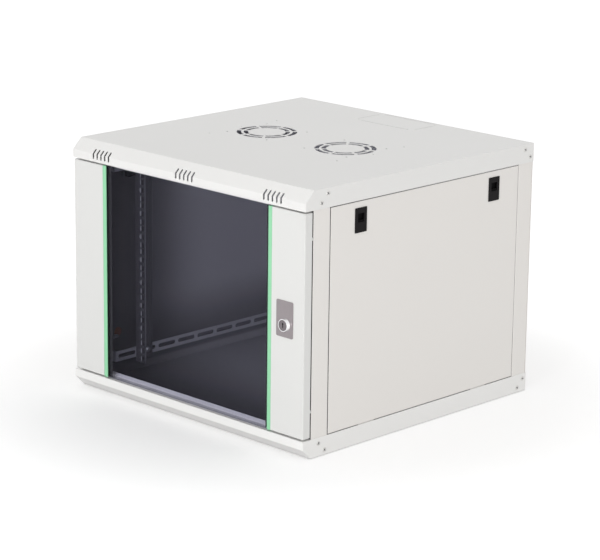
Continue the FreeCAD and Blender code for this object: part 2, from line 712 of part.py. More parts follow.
# ---------------------------------------------------------------- posts and rear panel
def make_post(label, side, is_front):
    """Folded sheet post: outer face, flange by the door or rear, flange for the depth bars."""
    body = new_body(label)
    near, far = (post_front, front_post_end) if is_front else (rear_panel_front, rear_post_start)
    inwards = 1 if is_front else -1
    wall = S.gauge * inwards
    face_end = inner_half - S.post_face
    flange_end = inner_half - S.post_inner_flange
    outline = [
        (face_end, near), (inner_half, near), (inner_half, far), (flange_end, far),
        (flange_end, far - wall), (inner_half - S.gauge, far - wall),
        (inner_half - S.gauge, near + wall), (face_end, near + wall),
    ]
    section = on_plane(body, "XY", S.gauge)
    draw_polygon(section, [(x * side, y) for x, y in outline])
    column = pad(body, section, height - S.gauge * 2)
    outer_x = inner_half.value * side
    round_edges(body, column, S.bend_radius, lambda a, b: is_near(a.x, outer_x, b.x) and a.z != b.z)

    tab_outer = panel_inner - S.fit_gap
    tab_start = far if is_front else far - S.rest_tab_length
    flange_low = far - S.gauge if is_front else far
    for sign in (-1, 1):
        tab_level = middle_level + S.rest_tab_spread * sign
        window = on_plane(body, "XZ", flange_low - S.cut_overrun)
        draw_centred(window, ((tab_outer + S.rest_tab_length / 2) * side, tab_level),
                     (S.rest_tab_length, S.rest_tab_height))
        pocket(body, window, S.gauge + S.cut_overrun * 2)
        tab = on_plane(body, "XZ", tab_start)
        draw_centred(tab, ((tab_outer - S.gauge / 2) * side, tab_level),
                     (S.gauge, S.rest_tab_height))
        pad(body, tab, S.rest_tab_length)

    bolt_holes = on_plane(body, "XZ", flange_low - S.cut_overrun)
    for bar_level in bar_levels.values():
        draw_circle(bolt_holes, bar_bolt_x * side, bar_level, S.bolt_radius + S.pin_play)
    if is_front and side < 0:
        draw_circle(bolt_holes, (inner_half - S.stud_inset) * side, S.stud_level,
                    S.bolt_radius + S.pin_play)
    pocket(body, bolt_holes, S.gauge + S.cut_overrun * 2)

    screw_holes = on_plane(body, "YZ", inner_half * side - S.gauge - S.cut_overrun)
    places = cover_screw_places()[:2] if is_front else cover_screw_places()[2:]
    for y, distance in places:
        for screw_level in (distance, height - distance):
            draw_circle(screw_holes, y, screw_level, S.screw_radius + S.pin_play)
    pocket(body, screw_holes, S.gauge * 2 + S.cut_overrun * 2)

    if not is_front:
        wall_holes = on_plane(body, "XZ", near - S.gauge - S.cut_overrun)
        for sign in (-1, 1):
            draw_circle(wall_holes, (inner_half - S.wall_hole_inset) * side,
                        middle_level + S.wall_hole_spread * sign, S.wall_hole_radius + S.wall_hole_extra)
            draw_circle(wall_holes, (inner_half - S.rear_screw_inset) * side,
                        middle_level + S.rear_screw_spread * sign, S.screw_radius + S.pin_play)
        pocket(body, wall_holes, S.gauge + S.cut_overrun * 2)


for side_name, side in SIDES.items():
    make_post(f"front_post_{side_name}", side, True)
    make_post(f"rear_post_{side_name}", side, False)


def make_rear_panel():
    """Flat rear sheet with wall fixing holes, screw holes and a cable knock-out."""
    body = new_body("rear_panel")
    plate = on_plane(body, "XZ", rear_panel_front)
    edge = inner_half - S.fit_gap
    draw_rectangle(plate, (-edge, S.gauge + S.fit_gap), (edge, height - S.gauge - S.fit_gap))
    pad(body, plate, S.gauge)
    holes = on_plane(body, "XZ", rear_panel_front - S.cut_overrun)
    for side in SIDES.values():
        for sign in (-1, 1):
            draw_circle(holes, (inner_half - S.wall_hole_inset) * side,
                        middle_level + S.wall_hole_spread * sign, S.wall_hole_radius)
            draw_circle(holes, (inner_half - S.rear_screw_inset) * side,
                        middle_level + S.rear_screw_spread * sign, S.screw_radius + S.pin_play)
    pocket(body, holes, S.gauge + S.cut_overrun * 2)
    cut_knockout(body, "XZ", rear_panel_front, (0, height - S.rear_knockout_drop))


make_rear_panel()


# ---------------------------------------------------------------- depth bars and rack rails
def make_depth_bar(label, side, level):
    """Slotted bar from post to post, with a bolted tab at each end."""
    body = new_body(label)
    tab_end = bar_bolt_x + S.bar_tab_margin
    outline = [
        (bar_inner, bar_front), (tab_end, bar_front), (tab_end, bar_front + S.bar_gauge),
        (bar_outer, bar_front + S.bar_gauge), (bar_outer, bar_rear - S.bar_gauge),
        (tab_end, bar_rear - S.bar_gauge), (tab_end, bar_rear), (bar_inner, bar_rear),
    ]
    plan = on_plane(body, "XY", level - S.bar_height / 2)
    draw_polygon(plan, [(x * side, y) for x, y in outline])
    pad(body, plan, S.bar_height)

    holes = on_plane(body, "XZ", bar_front - S.cut_overrun)
    draw_circle(holes, bar_bolt_x * side, level, S.bolt_radius + S.pin_play)
    pocket(body, holes, bar_rear - bar_front + S.cut_overrun * 2)

    low_face = -bar_outer if side < 0 else bar_inner
    slot = on_plane(body, "YZ", low_face - S.cut_overrun)
    first_slot = bar_front + S.bar_gauge + S.slot_margin + S.slot_length / 2
    draw_slot(slot, (first_slot, level), S.slot_length, S.slot_width, False)
    cut = pocket(body, slot, S.bar_gauge + S.cut_overrun * 2)
    free_length = (bar_rear - bar_front).value - 2 * S.bar_gauge.value - 2 * S.slot_margin.value
    count = int((free_length - S.slot_length.value) / S.slot_pitch.value) + 1
    repeat_along(body, cut, slot, "H_Axis", S.slot_pitch * (count - 1), as_size(count))


def make_rack_rail(label, side):
    """Angle with three square holes in every rack unit, bolted to the depth bars."""
    body = new_body(label)
    face_edge = S.rail_hole_span / 2 - S.rail_inner_margin
    outline = [
        (face_edge, rail_front), (rail_side, rail_front), (rail_side, rail_front + S.rail_depth),
        (rail_side - S.rail_gauge, rail_front + S.rail_depth),
        (rail_side - S.rail_gauge, rail_front + S.rail_gauge), (face_edge, rail_front + S.rail_gauge),
    ]
    foot = bay_floor + S.rail_end_gap
    section = on_plane(body, "XY", foot)
    draw_polygon(section, [(x * side, y) for x, y in outline])
    pad(body, section, bay_ceiling - S.rail_end_gap - foot)

    unit_floor = bay_floor + S.bay_margin / 2
    square = on_plane(body, "XZ", rail_front - S.cut_overrun)
    for step in (S.cage_outer_step, S.rack_unit / 2, S.rack_unit - S.cage_outer_step):
        draw_centred(square, (S.rail_hole_span / 2 * side, unit_floor + step),
                     (S.cage_hole, S.cage_hole))
    cut = pocket(body, square, S.rail_gauge + S.cut_overrun * 2)
    repeat_along(body, cut, square, "V_Axis", S.rack_unit * (S.rack_units - 1), S.rack_units)

    low_face = -rail_side if side < 0 else rail_side - S.rail_gauge
    bolt_holes = on_plane(body, "YZ", low_face - S.cut_overrun)
    for bar_level in bar_levels.values():
        draw_circle(bolt_holes, rail_bolt_y, bar_level, S.bolt_radius + S.pin_play)
    pocket(body, bolt_holes, S.rail_gauge + S.cut_overrun * 2)


for side_name, side in SIDES.items():
    for place, bar_level in bar_levels.items():
        make_depth_bar(f"depth_bar_{place}_{side_name}", side, bar_level)
    make_rack_rail(f"rack_rail_{side_name}", side)


def bolt_profile(radius, length, head_radius, head_height):
    """Corners of a button-head bolt: shank along +height, head below its seat at height 0."""
    return [
        (0, -head_height), (head_radius * 0.6, -head_height), (head_radius, -head_height * 0.35),
        (head_radius, 0), (radius, 0), (radius, length), (0, length),
    ]


M6_BOLT = bolt_profile(S.bolt_radius.value, S.bolt_tail.value,
                       S.bolt_head_radius.value, S.bolt_head_height.value)
nut_bore = S.bolt_radius + S.pin_play


def m6_nut(base, axis):
    """An M6 nut standing at a base along an axis."""
    return hexagon_nut(S.nut_flat_radius.value, nut_bore.value, S.nut_height.value, base, axis)


def make_bar_fasteners():
    """Bolts and nuts that hold the depth bars' tabs to the posts."""
    bolts = []
    nuts = []
    for side in SIDES.values():
        for level in bar_levels.values():
            x = bar_bolt_x * side
            bolts.append(turned_solid(M6_BOLT, point(x, front_post_end, level), Vector(0, -1, 0)))
            nuts.append(m6_nut(point(x, bar_front, level), Vector(0, -1, 0)))
            bolts.append(turned_solid(M6_BOLT, point(x, rear_post_start, level), Vector(0, 1, 0)))
            nuts.append(m6_nut(point(x, bar_rear, level), Vector(0, 1, 0)))
    group("bar_bolts", bolts)
    group("bar_nuts", nuts)


def make_rail_fasteners(side_name, side):
    """Bolts and nuts that clamp one rack rail in the bars' slots."""
    outwards = Vector(side, 0, 0)
    levels = bar_levels.values()
    seat = (rail_side - S.rail_gauge) * side
    nut_seat = (bar_outer + S.fit_gap) * side
    group(f"rail_bolts_{side_name}",
          [turned_solid(M6_BOLT, point(seat, rail_bolt_y, level), outwards) for level in levels])
    group(f"rail_nuts_{side_name}",
          [m6_nut(point(nut_seat, rail_bolt_y, level), outwards) for level in levels])


make_bar_fasteners()
for side_name, side in SIDES.items():
    make_rail_fasteners(side_name, side)


# ---------------------------------------------------------------- side panels and their latches
def make_side_panel(label, side):
    """Shallow pan with folded edges, latch windows and two locating tabs at its foot."""
    body = new_body(label)
    pan_low = -inner_half if side < 0 else panel_inner
    pan = on_plane(body, "YZ", pan_low)
    draw_rectangle(pan, (panel_start, panel_low), (panel_end, panel_high))
    outer = pad(body, pan, S.panel_return)
    face_x = inner_half.value * side
    round_edges(body, outer, S.bend_radius, lambda a, b: is_near(a.x, face_x, b.x))
    hollow_low = -inner_half + S.gauge if side < 0 else panel_inner
    hollow = on_plane(body, "YZ", hollow_low)
    draw_rectangle(hollow, (panel_start + S.gauge, panel_low + S.gauge),
                   (panel_end - S.gauge, panel_high - S.gauge))
    pocket(body, hollow, S.panel_return - S.gauge)

    windows = on_plane(body, "YZ", pan_low if side < 0 else inner_half - S.gauge)
    window_level = (latch_top + latch_bottom) / 2
    opening_wide = S.latch_plate_wide - S.latch_rim * 2 + S.fit_gap * 2
    opening_high = S.latch_plate_high - S.latch_rim * 2 + S.fit_gap * 2
    for y in latch_places.values():
        draw_centred(windows, (y, window_level), (opening_wide, opening_high))
    pocket(body, windows, S.gauge)

    notches = on_plane(body, "XY", panel_high - S.gauge - S.cut_overrun)
    notch_middle = (slider_outer - S.slider_thick / 2) * side
    for y in latch_places.values():
        draw_centred(notches, (notch_middle, y),
                     (S.slider_thick + S.fit_gap * 2, S.slider_wide + S.fit_gap * 4))
    pocket(body, notches, S.gauge + S.cut_overrun * 2)

    tab_outer = inner_half - S.panel_tab_gap
    tabs = on_plane(body, "YZ", -tab_outer if side < 0 else tab_outer - S.gauge)
    for sign in (-1, 1):
        tab_middle = panel_middle + S.panel_tab_spread * sign
        draw_rectangle(tabs, (tab_middle - S.panel_tab_length / 2, panel_low - S.panel_tab_drop),
                       (tab_middle + S.panel_tab_length / 2, panel_low + S.gauge))
    pad(body, tabs, S.gauge)


def make_latch(side_name, side, place, y):
    """Slide latch: a housing clipped in the panel and a slider that rises behind the cover."""
    housing = new_body(f"latch_housing_{side_name}_{place}")
    plate_outer = inner_half + S.latch_plate_thick
    middle = (latch_top + latch_bottom) / 2
    body_wide = S.latch_plate_wide - S.latch_rim * 2
    body_high = S.latch_plate_high - S.latch_rim * 2
    face = on_plane(housing, "YZ", -plate_outer if side < 0 else inner_half)
    draw_centred(face, (y, middle), (S.latch_plate_wide, S.latch_plate_high))
    plate = pad(housing, face, S.latch_plate_thick)
    round_edges(housing, plate, S.latch_corner,
                lambda a, b: not is_near(a.x, b.x, b.x))
    block_low = -inner_half if side < 0 else inner_half - S.latch_body_depth
    block = on_plane(housing, "YZ", block_low)
    draw_centred(block, (y, middle), (body_wide, body_high))
    pad(housing, block, S.latch_body_depth)

    slider_inner = slider_outer - S.slider_thick
    channel_wide = S.slider_wide + S.fit_gap * 2
    channel_thick = S.slider_thick + S.fit_gap * 2
    channel_low = (-slider_outer if side < 0 else slider_inner) - S.fit_gap
    channel = on_plane(housing, "YZ", channel_low)
    draw_rectangle(channel, (y - channel_wide / 2, latch_body_bottom + S.gauge),
                   (y + channel_wide / 2, latch_top - S.latch_rim + S.cut_overrun))
    pocket(housing, channel, channel_thick)
    window_depth = plate_outer - slider_outer
    window = on_plane(housing, "YZ", -plate_outer if side < 0 else slider_outer)
    draw_rectangle(window, (y - S.latch_window_wide / 2, window_bottom),
                   (y + S.latch_window_wide / 2, window_top))
    pocket(housing, window, window_depth)

    slider = new_body(f"latch_slider_{side_name}_{place}")
    slider_bottom = latch_body_bottom + S.gauge + S.fit_gap
    web = on_plane(slider, "YZ", -slider_outer if side < 0 else slider_inner)
    draw_rectangle(web, (y - S.slider_wide / 2, slider_bottom), (y + S.slider_wide / 2, slider_top))
    pad(slider, web, S.slider_thick)
    bar_bottom = window_bottom + S.finger_bar_gap
    bar_wide = S.latch_window_wide - S.fit_gap * 2
    bar_out = plate_outer - S.fit_gap - slider_outer
    bar = on_plane(slider, "YZ", -slider_outer - bar_out if side < 0 else slider_outer)
    draw_rectangle(bar, (y - bar_wide / 2, bar_bottom), (y + bar_wide / 2, bar_bottom + S.finger_bar_high))
    pad(slider, bar, bar_out)


for side_name, side in SIDES.items():
    make_side_panel(f"side_panel_{side_name}", side)
    for place, latch_y in latch_places.items():
        make_latch(side_name, side, place, latch_y)


# ---------------------------------------------------------------- door
def is_stile_edge(a, b, edge_x, face_y):
    """True for the stile's outer upright front edge and the edges of its closed ends there."""
    on_side = is_near(a.x, edge_x, b.x)
    on_face = is_near(a.y, face_y, b.y)
    at_end = any(is_near(a.z, end, b.z) for end in (door_low.value, door_high.value))
    return (on_side and on_face) or (at_end and (on_side or on_face))


def make_stile(label, side):
    """Folded steel stile with closed ends and a flange behind the glass."""
    body = new_body(label)
    skin = door_face + S.gauge
    lip_end = door_side - S.stile_lip
    flange_end = stile_inner - S.glass_flange
    outline = [
        (lip_end, door_back), (door_side, door_back), (door_side, door_face),
        (stile_inner, door_face), (stile_inner, glass_back), (flange_end, glass_back),
        (flange_end, glass_back + S.gauge), (stile_inner + S.gauge, glass_back + S.gauge),
        (stile_inner + S.gauge, skin), (door_side - S.gauge, skin),
        (door_side - S.gauge, door_back - S.gauge), (lip_end, door_back - S.gauge),
    ]
    section = on_plane(body, "XY", door_low)
    draw_polygon(section, [(x * side, y) for x, y in outline])
    pad(body, section, door_high - door_low)
    for end_low in (door_low, door_high - S.gauge):
        end = on_plane(body, "XY", end_low)
        draw_rectangle(end, (stile_inner * side, door_face), (door_side * side, door_back))
        closed = pad(body, end, S.gauge)
    edge_x = door_side.value * side
    face_y = door_face.value
    round_edges(body, closed, S.bend_radius, lambda a, b: is_stile_edge(a, b, edge_x, face_y))
    return body


def cut_hinge_holes(body):
    """Pin holes through both ends of the hinge stile."""
    holes = on_plane(body, "XY", door_low - S.cut_overrun)
    draw_circle(holes, hinge_x, hinge_y, S.hinge_radius + S.pin_play)
    pocket(body, holes, door_high - door_low + S.cut_overrun * 2)


def cut_lock_hole(body):
    """Hole for the lock barrel through the lock stile's skin."""
    hole = on_plane(body, "XZ", door_face - S.cut_overrun)
    draw_circle(hole, lock_x, lock_level, S.barrel_radius + S.pin_play)
    pocket(body, hole, S.gauge + S.cut_overrun * 2)


def make_glass():
    """Tinted pane between the stiles, as high as they are."""
    body = new_body("door_glass")
    pane = on_plane(body, "XZ", glass_face)
    edge = glass_edge
    draw_rectangle(pane, (-edge, door_low), (edge, door_high))
    pad(body, pane, S.glass_thick)


def make_glass_strip(label, side):
    """Edge strip that covers the joint of glass and stile."""
    body = new_body(label)
    strip_body = glass_edge + S.strip_gap
    outline = [
        (strip_edge, door_face + S.strip_bevel), (strip_edge + S.strip_bevel, door_face),
        (stile_inner - S.strip_bevel, door_face), (stile_inner, door_face + S.strip_bevel),
        (stile_inner, glass_back), (strip_body, glass_back), (strip_body, glass_face),
        (strip_edge, glass_face),
    ]
    section = on_plane(body, "XY", door_low)
    draw_polygon(section, [(x * side, y) for x, y in outline])
    pad(body, section, door_high - door_low)


cut_hinge_holes(make_stile("door_stile_left", -1))
cut_lock_hole(make_stile("door_stile_right", 1))
make_glass()
for side_name, side in SIDES.items():
    make_glass_strip(f"glass_strip_{side_name}", side)


# ---------------------------------------------------------------- hinge
def make_lower_pin():
    """Fixed pin under the door, turning in the bottom cover's lip."""
    body = new_body("hinge_pin_lower")
    sketch = on_plane(body, "XZ", hinge_y, (hinge_x, 0))
    seat = door_low + S.gauge
    draw_polygon(sketch, [
        (0, bay_floor - S.gauge - S.hinge_reach), (S.hinge_radius, bay_floor - S.gauge - S.hinge_reach),
        (S.hinge_radius, seat), (S.hinge_collar_radius, seat),
        (S.hinge_collar_radius, seat + S.hinge_collar_height), (0, seat + S.hinge_collar_height),
    ])
    turn(body, sketch)


def make_hinge_washer():
    """Plastic washer between the bottom cover's lip and the door."""
    body = new_body("hinge_washer")
    sketch = on_plane(body, "XZ", hinge_y, (hinge_x, 0))
    draw_rectangle(sketch, (S.hinge_radius + S.pin_play, bay_floor),
                   (S.washer_radius, door_low - S.fit_gap))
    turn(body, sketch)


collar_top = door_high - S.gauge - S.fit_gap
collar_low = collar_top - S.hinge_collar_height
guide_top = door_high - S.hinge_guide_drop


def make_upper_pin():
    """Sprung pin with a collar for its spring and a cross pull at its foot."""
    body = new_body("hinge_pin_upper")
    sketch = on_plane(body, "XZ", hinge_y, (hinge_x, 0))
    foot = guide_top - S.hinge_pull_drop - S.hinge_pull_radius
    tip = bay_ceiling + S.gauge + S.hinge_reach
    draw_polygon(sketch, [
        (0, foot), (S.hinge_radius, foot), (S.hinge_radius, collar_low),
        (S.hinge_collar_radius, collar_low), (S.hinge_collar_radius, collar_top),
        (S.hinge_radius, collar_top), (S.hinge_radius, tip), (0, tip),
    ])
    turn(body, sketch)
    pull = on_plane(body, "YZ", hinge_x)
    draw_circle(pull, hinge_y, guide_top - S.hinge_pull_drop, S.hinge_pull_radius)
    pad(body, pull, S.hinge_pull_length)


def make_hinge_bracket():
    """Angle inside the stile that guides the sprung pin and carries its spring."""
    body = new_body("hinge_bracket")
    skin = door_face + S.gauge
    edge = -door_side + S.gauge + S.fit_gap
    leg = on_plane(body, "YZ", edge)
    draw_polygon(leg, [
        (skin, guide_top), (skin + S.bracket_reach, guide_top),
        (skin + S.bracket_reach, guide_top - S.bracket_gauge),
        (skin + S.bracket_gauge, guide_top - S.bracket_gauge),
        (skin + S.bracket_gauge, guide_top - S.bracket_height),
        (skin, guide_top - S.bracket_height),
    ])
    pad(body, leg, S.bracket_length)
    hole = on_plane(body, "XY", guide_top - S.bracket_gauge - S.cut_overrun)
    draw_circle(hole, hinge_x, hinge_y, S.hinge_radius + S.pin_play)
    pocket(body, hole, S.bracket_gauge + S.cut_overrun * 2)


def make_hinge_spring():
    """Compression spring round the sprung pin, between the bracket and the collar."""
    wire = S.spring_wire.value
    coil_radius = S.hinge_radius.value + S.pin_play.value + wire + S.pin_play.value * 2
    rise = (collar_low - guide_top).value - 2 * wire - S.pin_play.value * 2
    helix = Part.makeHelix(rise / S.spring_turns.value, rise, coil_radius)
    section = Part.Wire([Part.makeCircle(wire, Vector(coil_radius, 0, 0), Vector(0, 1, 0))])
    coil = Part.Wire(helix).makePipeShell([section], True, True)
    coil.translate(point(hinge_x, hinge_y, guide_top + wire + S.pin_play))
    group("hinge_spring", [coil])


make_lower_pin()
make_hinge_washer()
make_upper_pin()
make_hinge_bracket()
make_hinge_spring()


# ---------------------------------------------------------------- lock
def make_lock_plate():
    """Rounded plate under the lock bezel."""
    body = new_body("lock_plate")
    plate = on_plane(body, "XZ", barrel_start)
    bottom = lock_level - S.lock_plate_below
    draw_rectangle(plate, (lock_x - S.lock_plate_wide / 2, bottom),
                   (lock_x + S.lock_plate_wide / 2, bottom + S.lock_plate_high))
    base = pad(body, plate, S.lock_plate_thick)
    round_edges(body, base, S.lock_plate_corner, lambda a, b: not is_near(a.y, b.y, b.y))
    hole = on_plane(body, "XZ", barrel_start - S.cut_overrun)
    draw_circle(hole, lock_x, lock_level, S.barrel_radius + S.pin_play)
    pocket(body, hole, S.lock_plate_thick + S.cut_overrun * 2)


def make_lock_barrel():
    """Threaded barrel with its round bezel, bored for the core."""
    body = new_body("lock_barrel")
    sketch = on_plane(body, "XY", lock_level, (lock_x, 0))
    bore = S.core_radius + S.pin_play
    draw_polygon(sketch, [
        (bore, barrel_start - S.bezel_height), (S.bezel_front_radius, barrel_start - S.bezel_height),
        (S.bezel_radius, barrel_start), (S.barrel_radius, barrel_start),
        (S.barrel_radius, barrel_end), (bore, barrel_end),
    ])
    turn(body, sketch)


def make_lock_core():
    """Turning core with a keyway in front and a screw hole at the back."""
    body = new_body("lock_core")
    face = barrel_start - S.bezel_height + S.core_sink
    sketch = on_plane(body, "XY", lock_level, (lock_x, 0))
    draw_rectangle(sketch, (0, face), (S.core_radius, core_end))
    turn(body, sketch)
    keyway = on_plane(body, "XZ", face - S.cut_overrun)
    draw_centred(keyway, (lock_x, lock_level), (S.keyway_wide, S.keyway_high))
    pocket(body, keyway, S.keyway_depth + S.cut_overrun)
    keyway_head = on_plane(body, "XZ", face - S.cut_overrun)
    draw_circle(keyway_head, lock_x, lock_level + S.keyway_high / 4, S.keyway_head_radius)
    pocket(body, keyway_head, S.keyway_depth + S.cut_overrun)
    screw_hole = on_plane(body, "XZ", core_end - S.cam_screw_reach - S.fit_gap)
    draw_circle(screw_hole, lock_x, lock_level, S.cam_screw_radius + S.pin_play)
    pocket(body, screw_hole, S.cam_screw_reach + S.fit_gap + S.cut_overrun)


def make_lock_cam():
    """Locking cam: hub and tongue, hanging down while unlocked."""
    body = new_body("lock_cam")
    hub = on_plane(body, "XZ", core_end)
    draw_circle(hub, lock_x, lock_level, S.cam_hub_radius)
    pad(body, hub, S.cam_thick)
    tongue = on_plane(body, "XZ", core_end)
    draw_rectangle(tongue, (lock_x - S.cam_width / 2, lock_level - S.cam_length),
                   (lock_x + S.cam_width / 2, lock_level))
    pad(body, tongue, S.cam_thick)
    hole = on_plane(body, "XZ", core_end - S.cut_overrun)
    draw_circle(hole, lock_x, lock_level, S.cam_screw_radius + S.pin_play)
    pocket(body, hole, S.cam_thick + S.cut_overrun * 2)


def make_lock_fasteners():
    """Nut that clamps the barrel and screw that holds the cam."""
    nut_base = point(lock_x, door_face + S.gauge, lock_level)
    group("lock_nut", [hexagon_nut(S.lock_nut_flat_radius.value, (S.barrel_radius + S.pin_play).value,
                                   S.lock_nut_height.value, nut_base, Vector(0, 1, 0))])
    profile = bolt_profile(S.cam_screw_radius.value, (S.cam_screw_reach + S.cam_thick).value,
                           S.cam_screw_head_radius.value, S.cam_screw_head_height.value)
    group("lock_cam_screw", [turned_solid(profile, point(lock_x, cam_end, lock_level),
                                          Vector(0, -1, 0))])


make_lock_plate()
make_lock_barrel()
make_lock_core()
make_lock_cam()
make_lock_fasteners()


# ---------------------------------------------------------------- screws, bumpers, earth stud
def make_corner_screws():
    """Pan-head screws through the covers' side flanges into the posts."""
    profile = bolt_profile(S.screw_radius.value, S.screw_length.value,
                           S.screw_head_radius.value, S.screw_head_height.value)
    screws = []
    for side in SIDES.values():
        for y, distance in cover_screw_places():
            for level in (distance, height - distance):
                seat = point(half_width * side, y, level)
                screws.append(turned_solid(profile, seat, Vector(-side, 0, 0)))
    group("corner_screws", screws)


def make_rear_screws():
    """Low-head screws that hold the rear panel to the rear posts."""
    profile = bolt_profile(S.screw_radius.value, S.rear_screw_reach.value,
                           S.rear_screw_head_radius.value, S.rear_screw_head_height.value)
    screws = []
    for side in SIDES.values():
        for sign in (-1, 1):
            seat = point((inner_half - S.rear_screw_inset) * side, rear - S.gauge,
                         middle_level + S.rear_screw_spread * sign)
            screws.append(turned_solid(profile, seat, Vector(0, -1, 0)))
    group("rear_panel_screws", screws)


def make_bumpers():
    """White pads that the door closes on, beside the lock and under the top lip."""
    pad_height = (post_front - door_back - S.fit_gap).value
    pads = []
    for level in (S.bumper_level, height - S.bumper_level):
        seat = point(inner_half - S.bumper_inset, post_front, level)
        pads.append(Part.makeCylinder(S.bumper_radius.value, pad_height, seat, Vector(0, -1, 0)))
    for x in (-S.lip_bumper_left, half_width - S.lip_bumper_right):
        seat = point(x, front + S.lip_bumper_setback, bay_ceiling)
        pads.append(Part.makeCylinder(S.lip_bumper_radius.value, S.lip_bumper_height.value, seat,
                                      Vector(0, 0, -1)))
    group("door_bumpers", pads)


def make_earth_stud():
    """Earthing stud on the left front post, with its washer and nut."""
    x = -(inner_half - S.stud_inset)
    seat = point(x, front_post_end - S.gauge, S.stud_level)
    profile = bolt_profile(S.bolt_radius.value, (S.stud_length + S.gauge).value,
                           S.stud_head_radius.value, S.stud_head_height.value)
    group("earth_stud", [turned_solid(profile, seat, Vector(0, 1, 0))])
    washer_base = point(x, front_post_end, S.stud_level)
    ring = Part.makeCylinder(S.stud_washer_radius.value, S.stud_washer_height.value)
    washer = ring.cut(Part.makeCylinder(nut_bore.value, S.stud_washer_height.value))
    washer.Placement = Placement(washer_base, Rotation(Vector(0, 0, 1), Vector(0, 1, 0)))
    group("earth_washer", [washer])
    nut_base = point(x, front_post_end + S.stud_washer_height, S.stud_level)
    group("earth_nut", [m6_nut(nut_base, Vector(0, 1, 0))])


make_corner_screws()
make_rear_screws()
make_bumpers()
make_earth_stud()


# ---------------------------------------------------------------- checks and export
def check_document():
    """Stops if an object failed, a sub-part is not valid, or a pocket removed nothing."""
    for item in doc.Objects:
        if "Invalid" in item.State or "Error" in item.State:
            raise RuntimeError(f"{item.Label} failed: {item.State}")
        if item.TypeId == "PartDesign::Pocket":
            removed = item.BaseFeature.Shape.Volume - item.Shape.Volume
            if removed < 0.1:
                raise RuntimeError(f"{item.Label} removes nothing")


def sub_parts():
    """Every object that becomes a file: the bodies and the fastener groups."""
    return [item for item in doc.Objects if item.TypeId in ("PartDesign::Body", "Part::Feature")]


doc.recompute()
check_document()
os.makedirs("parts", exist_ok=True)
for part in sub_parts():
    if part.Shape.isNull() or not part.Shape.isValid():
        raise RuntimeError(f"{part.Label} has no valid shape")
    part.Shape.exportStep(f"parts/{part.Label}.step")
print(f"{len(sub_parts())} sub-parts written")
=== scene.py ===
# %% [markdown]
# # Dressing a wall mount network cabinet
# The cabinet arrives as exact solids: folded covers, posts, side panels, a glass door, a lock and
# two rack rails. Their shapes are right already, so this lesson gives them their finishes, adds the
# small things that are worth a surface of their own, and lights the result like a product picture.

import json
import math

import bpy
import numpy as np
from mathutils import Matrix, Vector


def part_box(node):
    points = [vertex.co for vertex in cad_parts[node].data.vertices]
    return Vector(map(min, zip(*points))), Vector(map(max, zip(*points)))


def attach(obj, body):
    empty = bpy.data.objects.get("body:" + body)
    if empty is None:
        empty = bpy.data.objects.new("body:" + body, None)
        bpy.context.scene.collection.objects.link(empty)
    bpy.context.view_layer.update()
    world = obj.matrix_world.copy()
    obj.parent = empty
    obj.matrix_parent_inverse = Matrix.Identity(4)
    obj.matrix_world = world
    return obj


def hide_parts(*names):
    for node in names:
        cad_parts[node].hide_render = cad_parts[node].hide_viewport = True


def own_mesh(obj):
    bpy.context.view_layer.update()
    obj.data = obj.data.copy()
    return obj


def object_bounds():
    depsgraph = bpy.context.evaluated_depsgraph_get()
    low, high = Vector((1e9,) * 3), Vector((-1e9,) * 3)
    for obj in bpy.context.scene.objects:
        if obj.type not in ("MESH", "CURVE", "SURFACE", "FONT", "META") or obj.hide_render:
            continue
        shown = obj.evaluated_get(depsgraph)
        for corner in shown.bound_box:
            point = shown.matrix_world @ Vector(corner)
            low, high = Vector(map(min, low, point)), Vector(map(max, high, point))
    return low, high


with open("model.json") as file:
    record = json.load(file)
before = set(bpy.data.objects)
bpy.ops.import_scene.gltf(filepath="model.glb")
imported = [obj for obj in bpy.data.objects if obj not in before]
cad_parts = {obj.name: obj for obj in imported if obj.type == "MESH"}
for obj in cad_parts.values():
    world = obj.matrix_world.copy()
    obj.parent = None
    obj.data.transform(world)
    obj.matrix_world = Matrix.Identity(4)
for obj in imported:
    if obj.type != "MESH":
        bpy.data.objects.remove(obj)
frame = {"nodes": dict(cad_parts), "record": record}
cad_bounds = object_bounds()
record = frame["record"]
print("CAD box", cad_bounds)

# %% [markdown]
# ## Shader arithmetic
# A finish is easier to read as a sum than as a drawing of boxes and wires. `Signal` wraps a
# socket, and each operator on it adds the Math node that does the same to the picture.


# %% A socket that does sums
class Signal:
    """A number that runs through a material's nodes, written with Python's operators."""

    def __init__(self, tree, socket):
        self.tree = tree
        self.socket = socket

    def _join(self, operation, first, second):
        node = self.tree.nodes.new("ShaderNodeMath")
        node.operation = operation
        for place, value in enumerate((first, second)):
            if isinstance(value, Signal):
                self.tree.links.new(value.socket, node.inputs[place])
            else:
                node.inputs[place].default_value = value
        return Signal(self.tree, node.outputs[0])

    def __add__(self, other):
        return self._join("ADD", self, other)

    def __radd__(self, other):
        return self._join("ADD", other, self)

    def __sub__(self, other):
        return self._join("SUBTRACT", self, other)

    def __rsub__(self, other):
        return self._join("SUBTRACT", other, self)

    def __mul__(self, other):
        return self._join("MULTIPLY", self, other)

    def __rmul__(self, other):
        return self._join("MULTIPLY", other, self)

    def __pow__(self, other):
        return self._join("POWER", self, other)


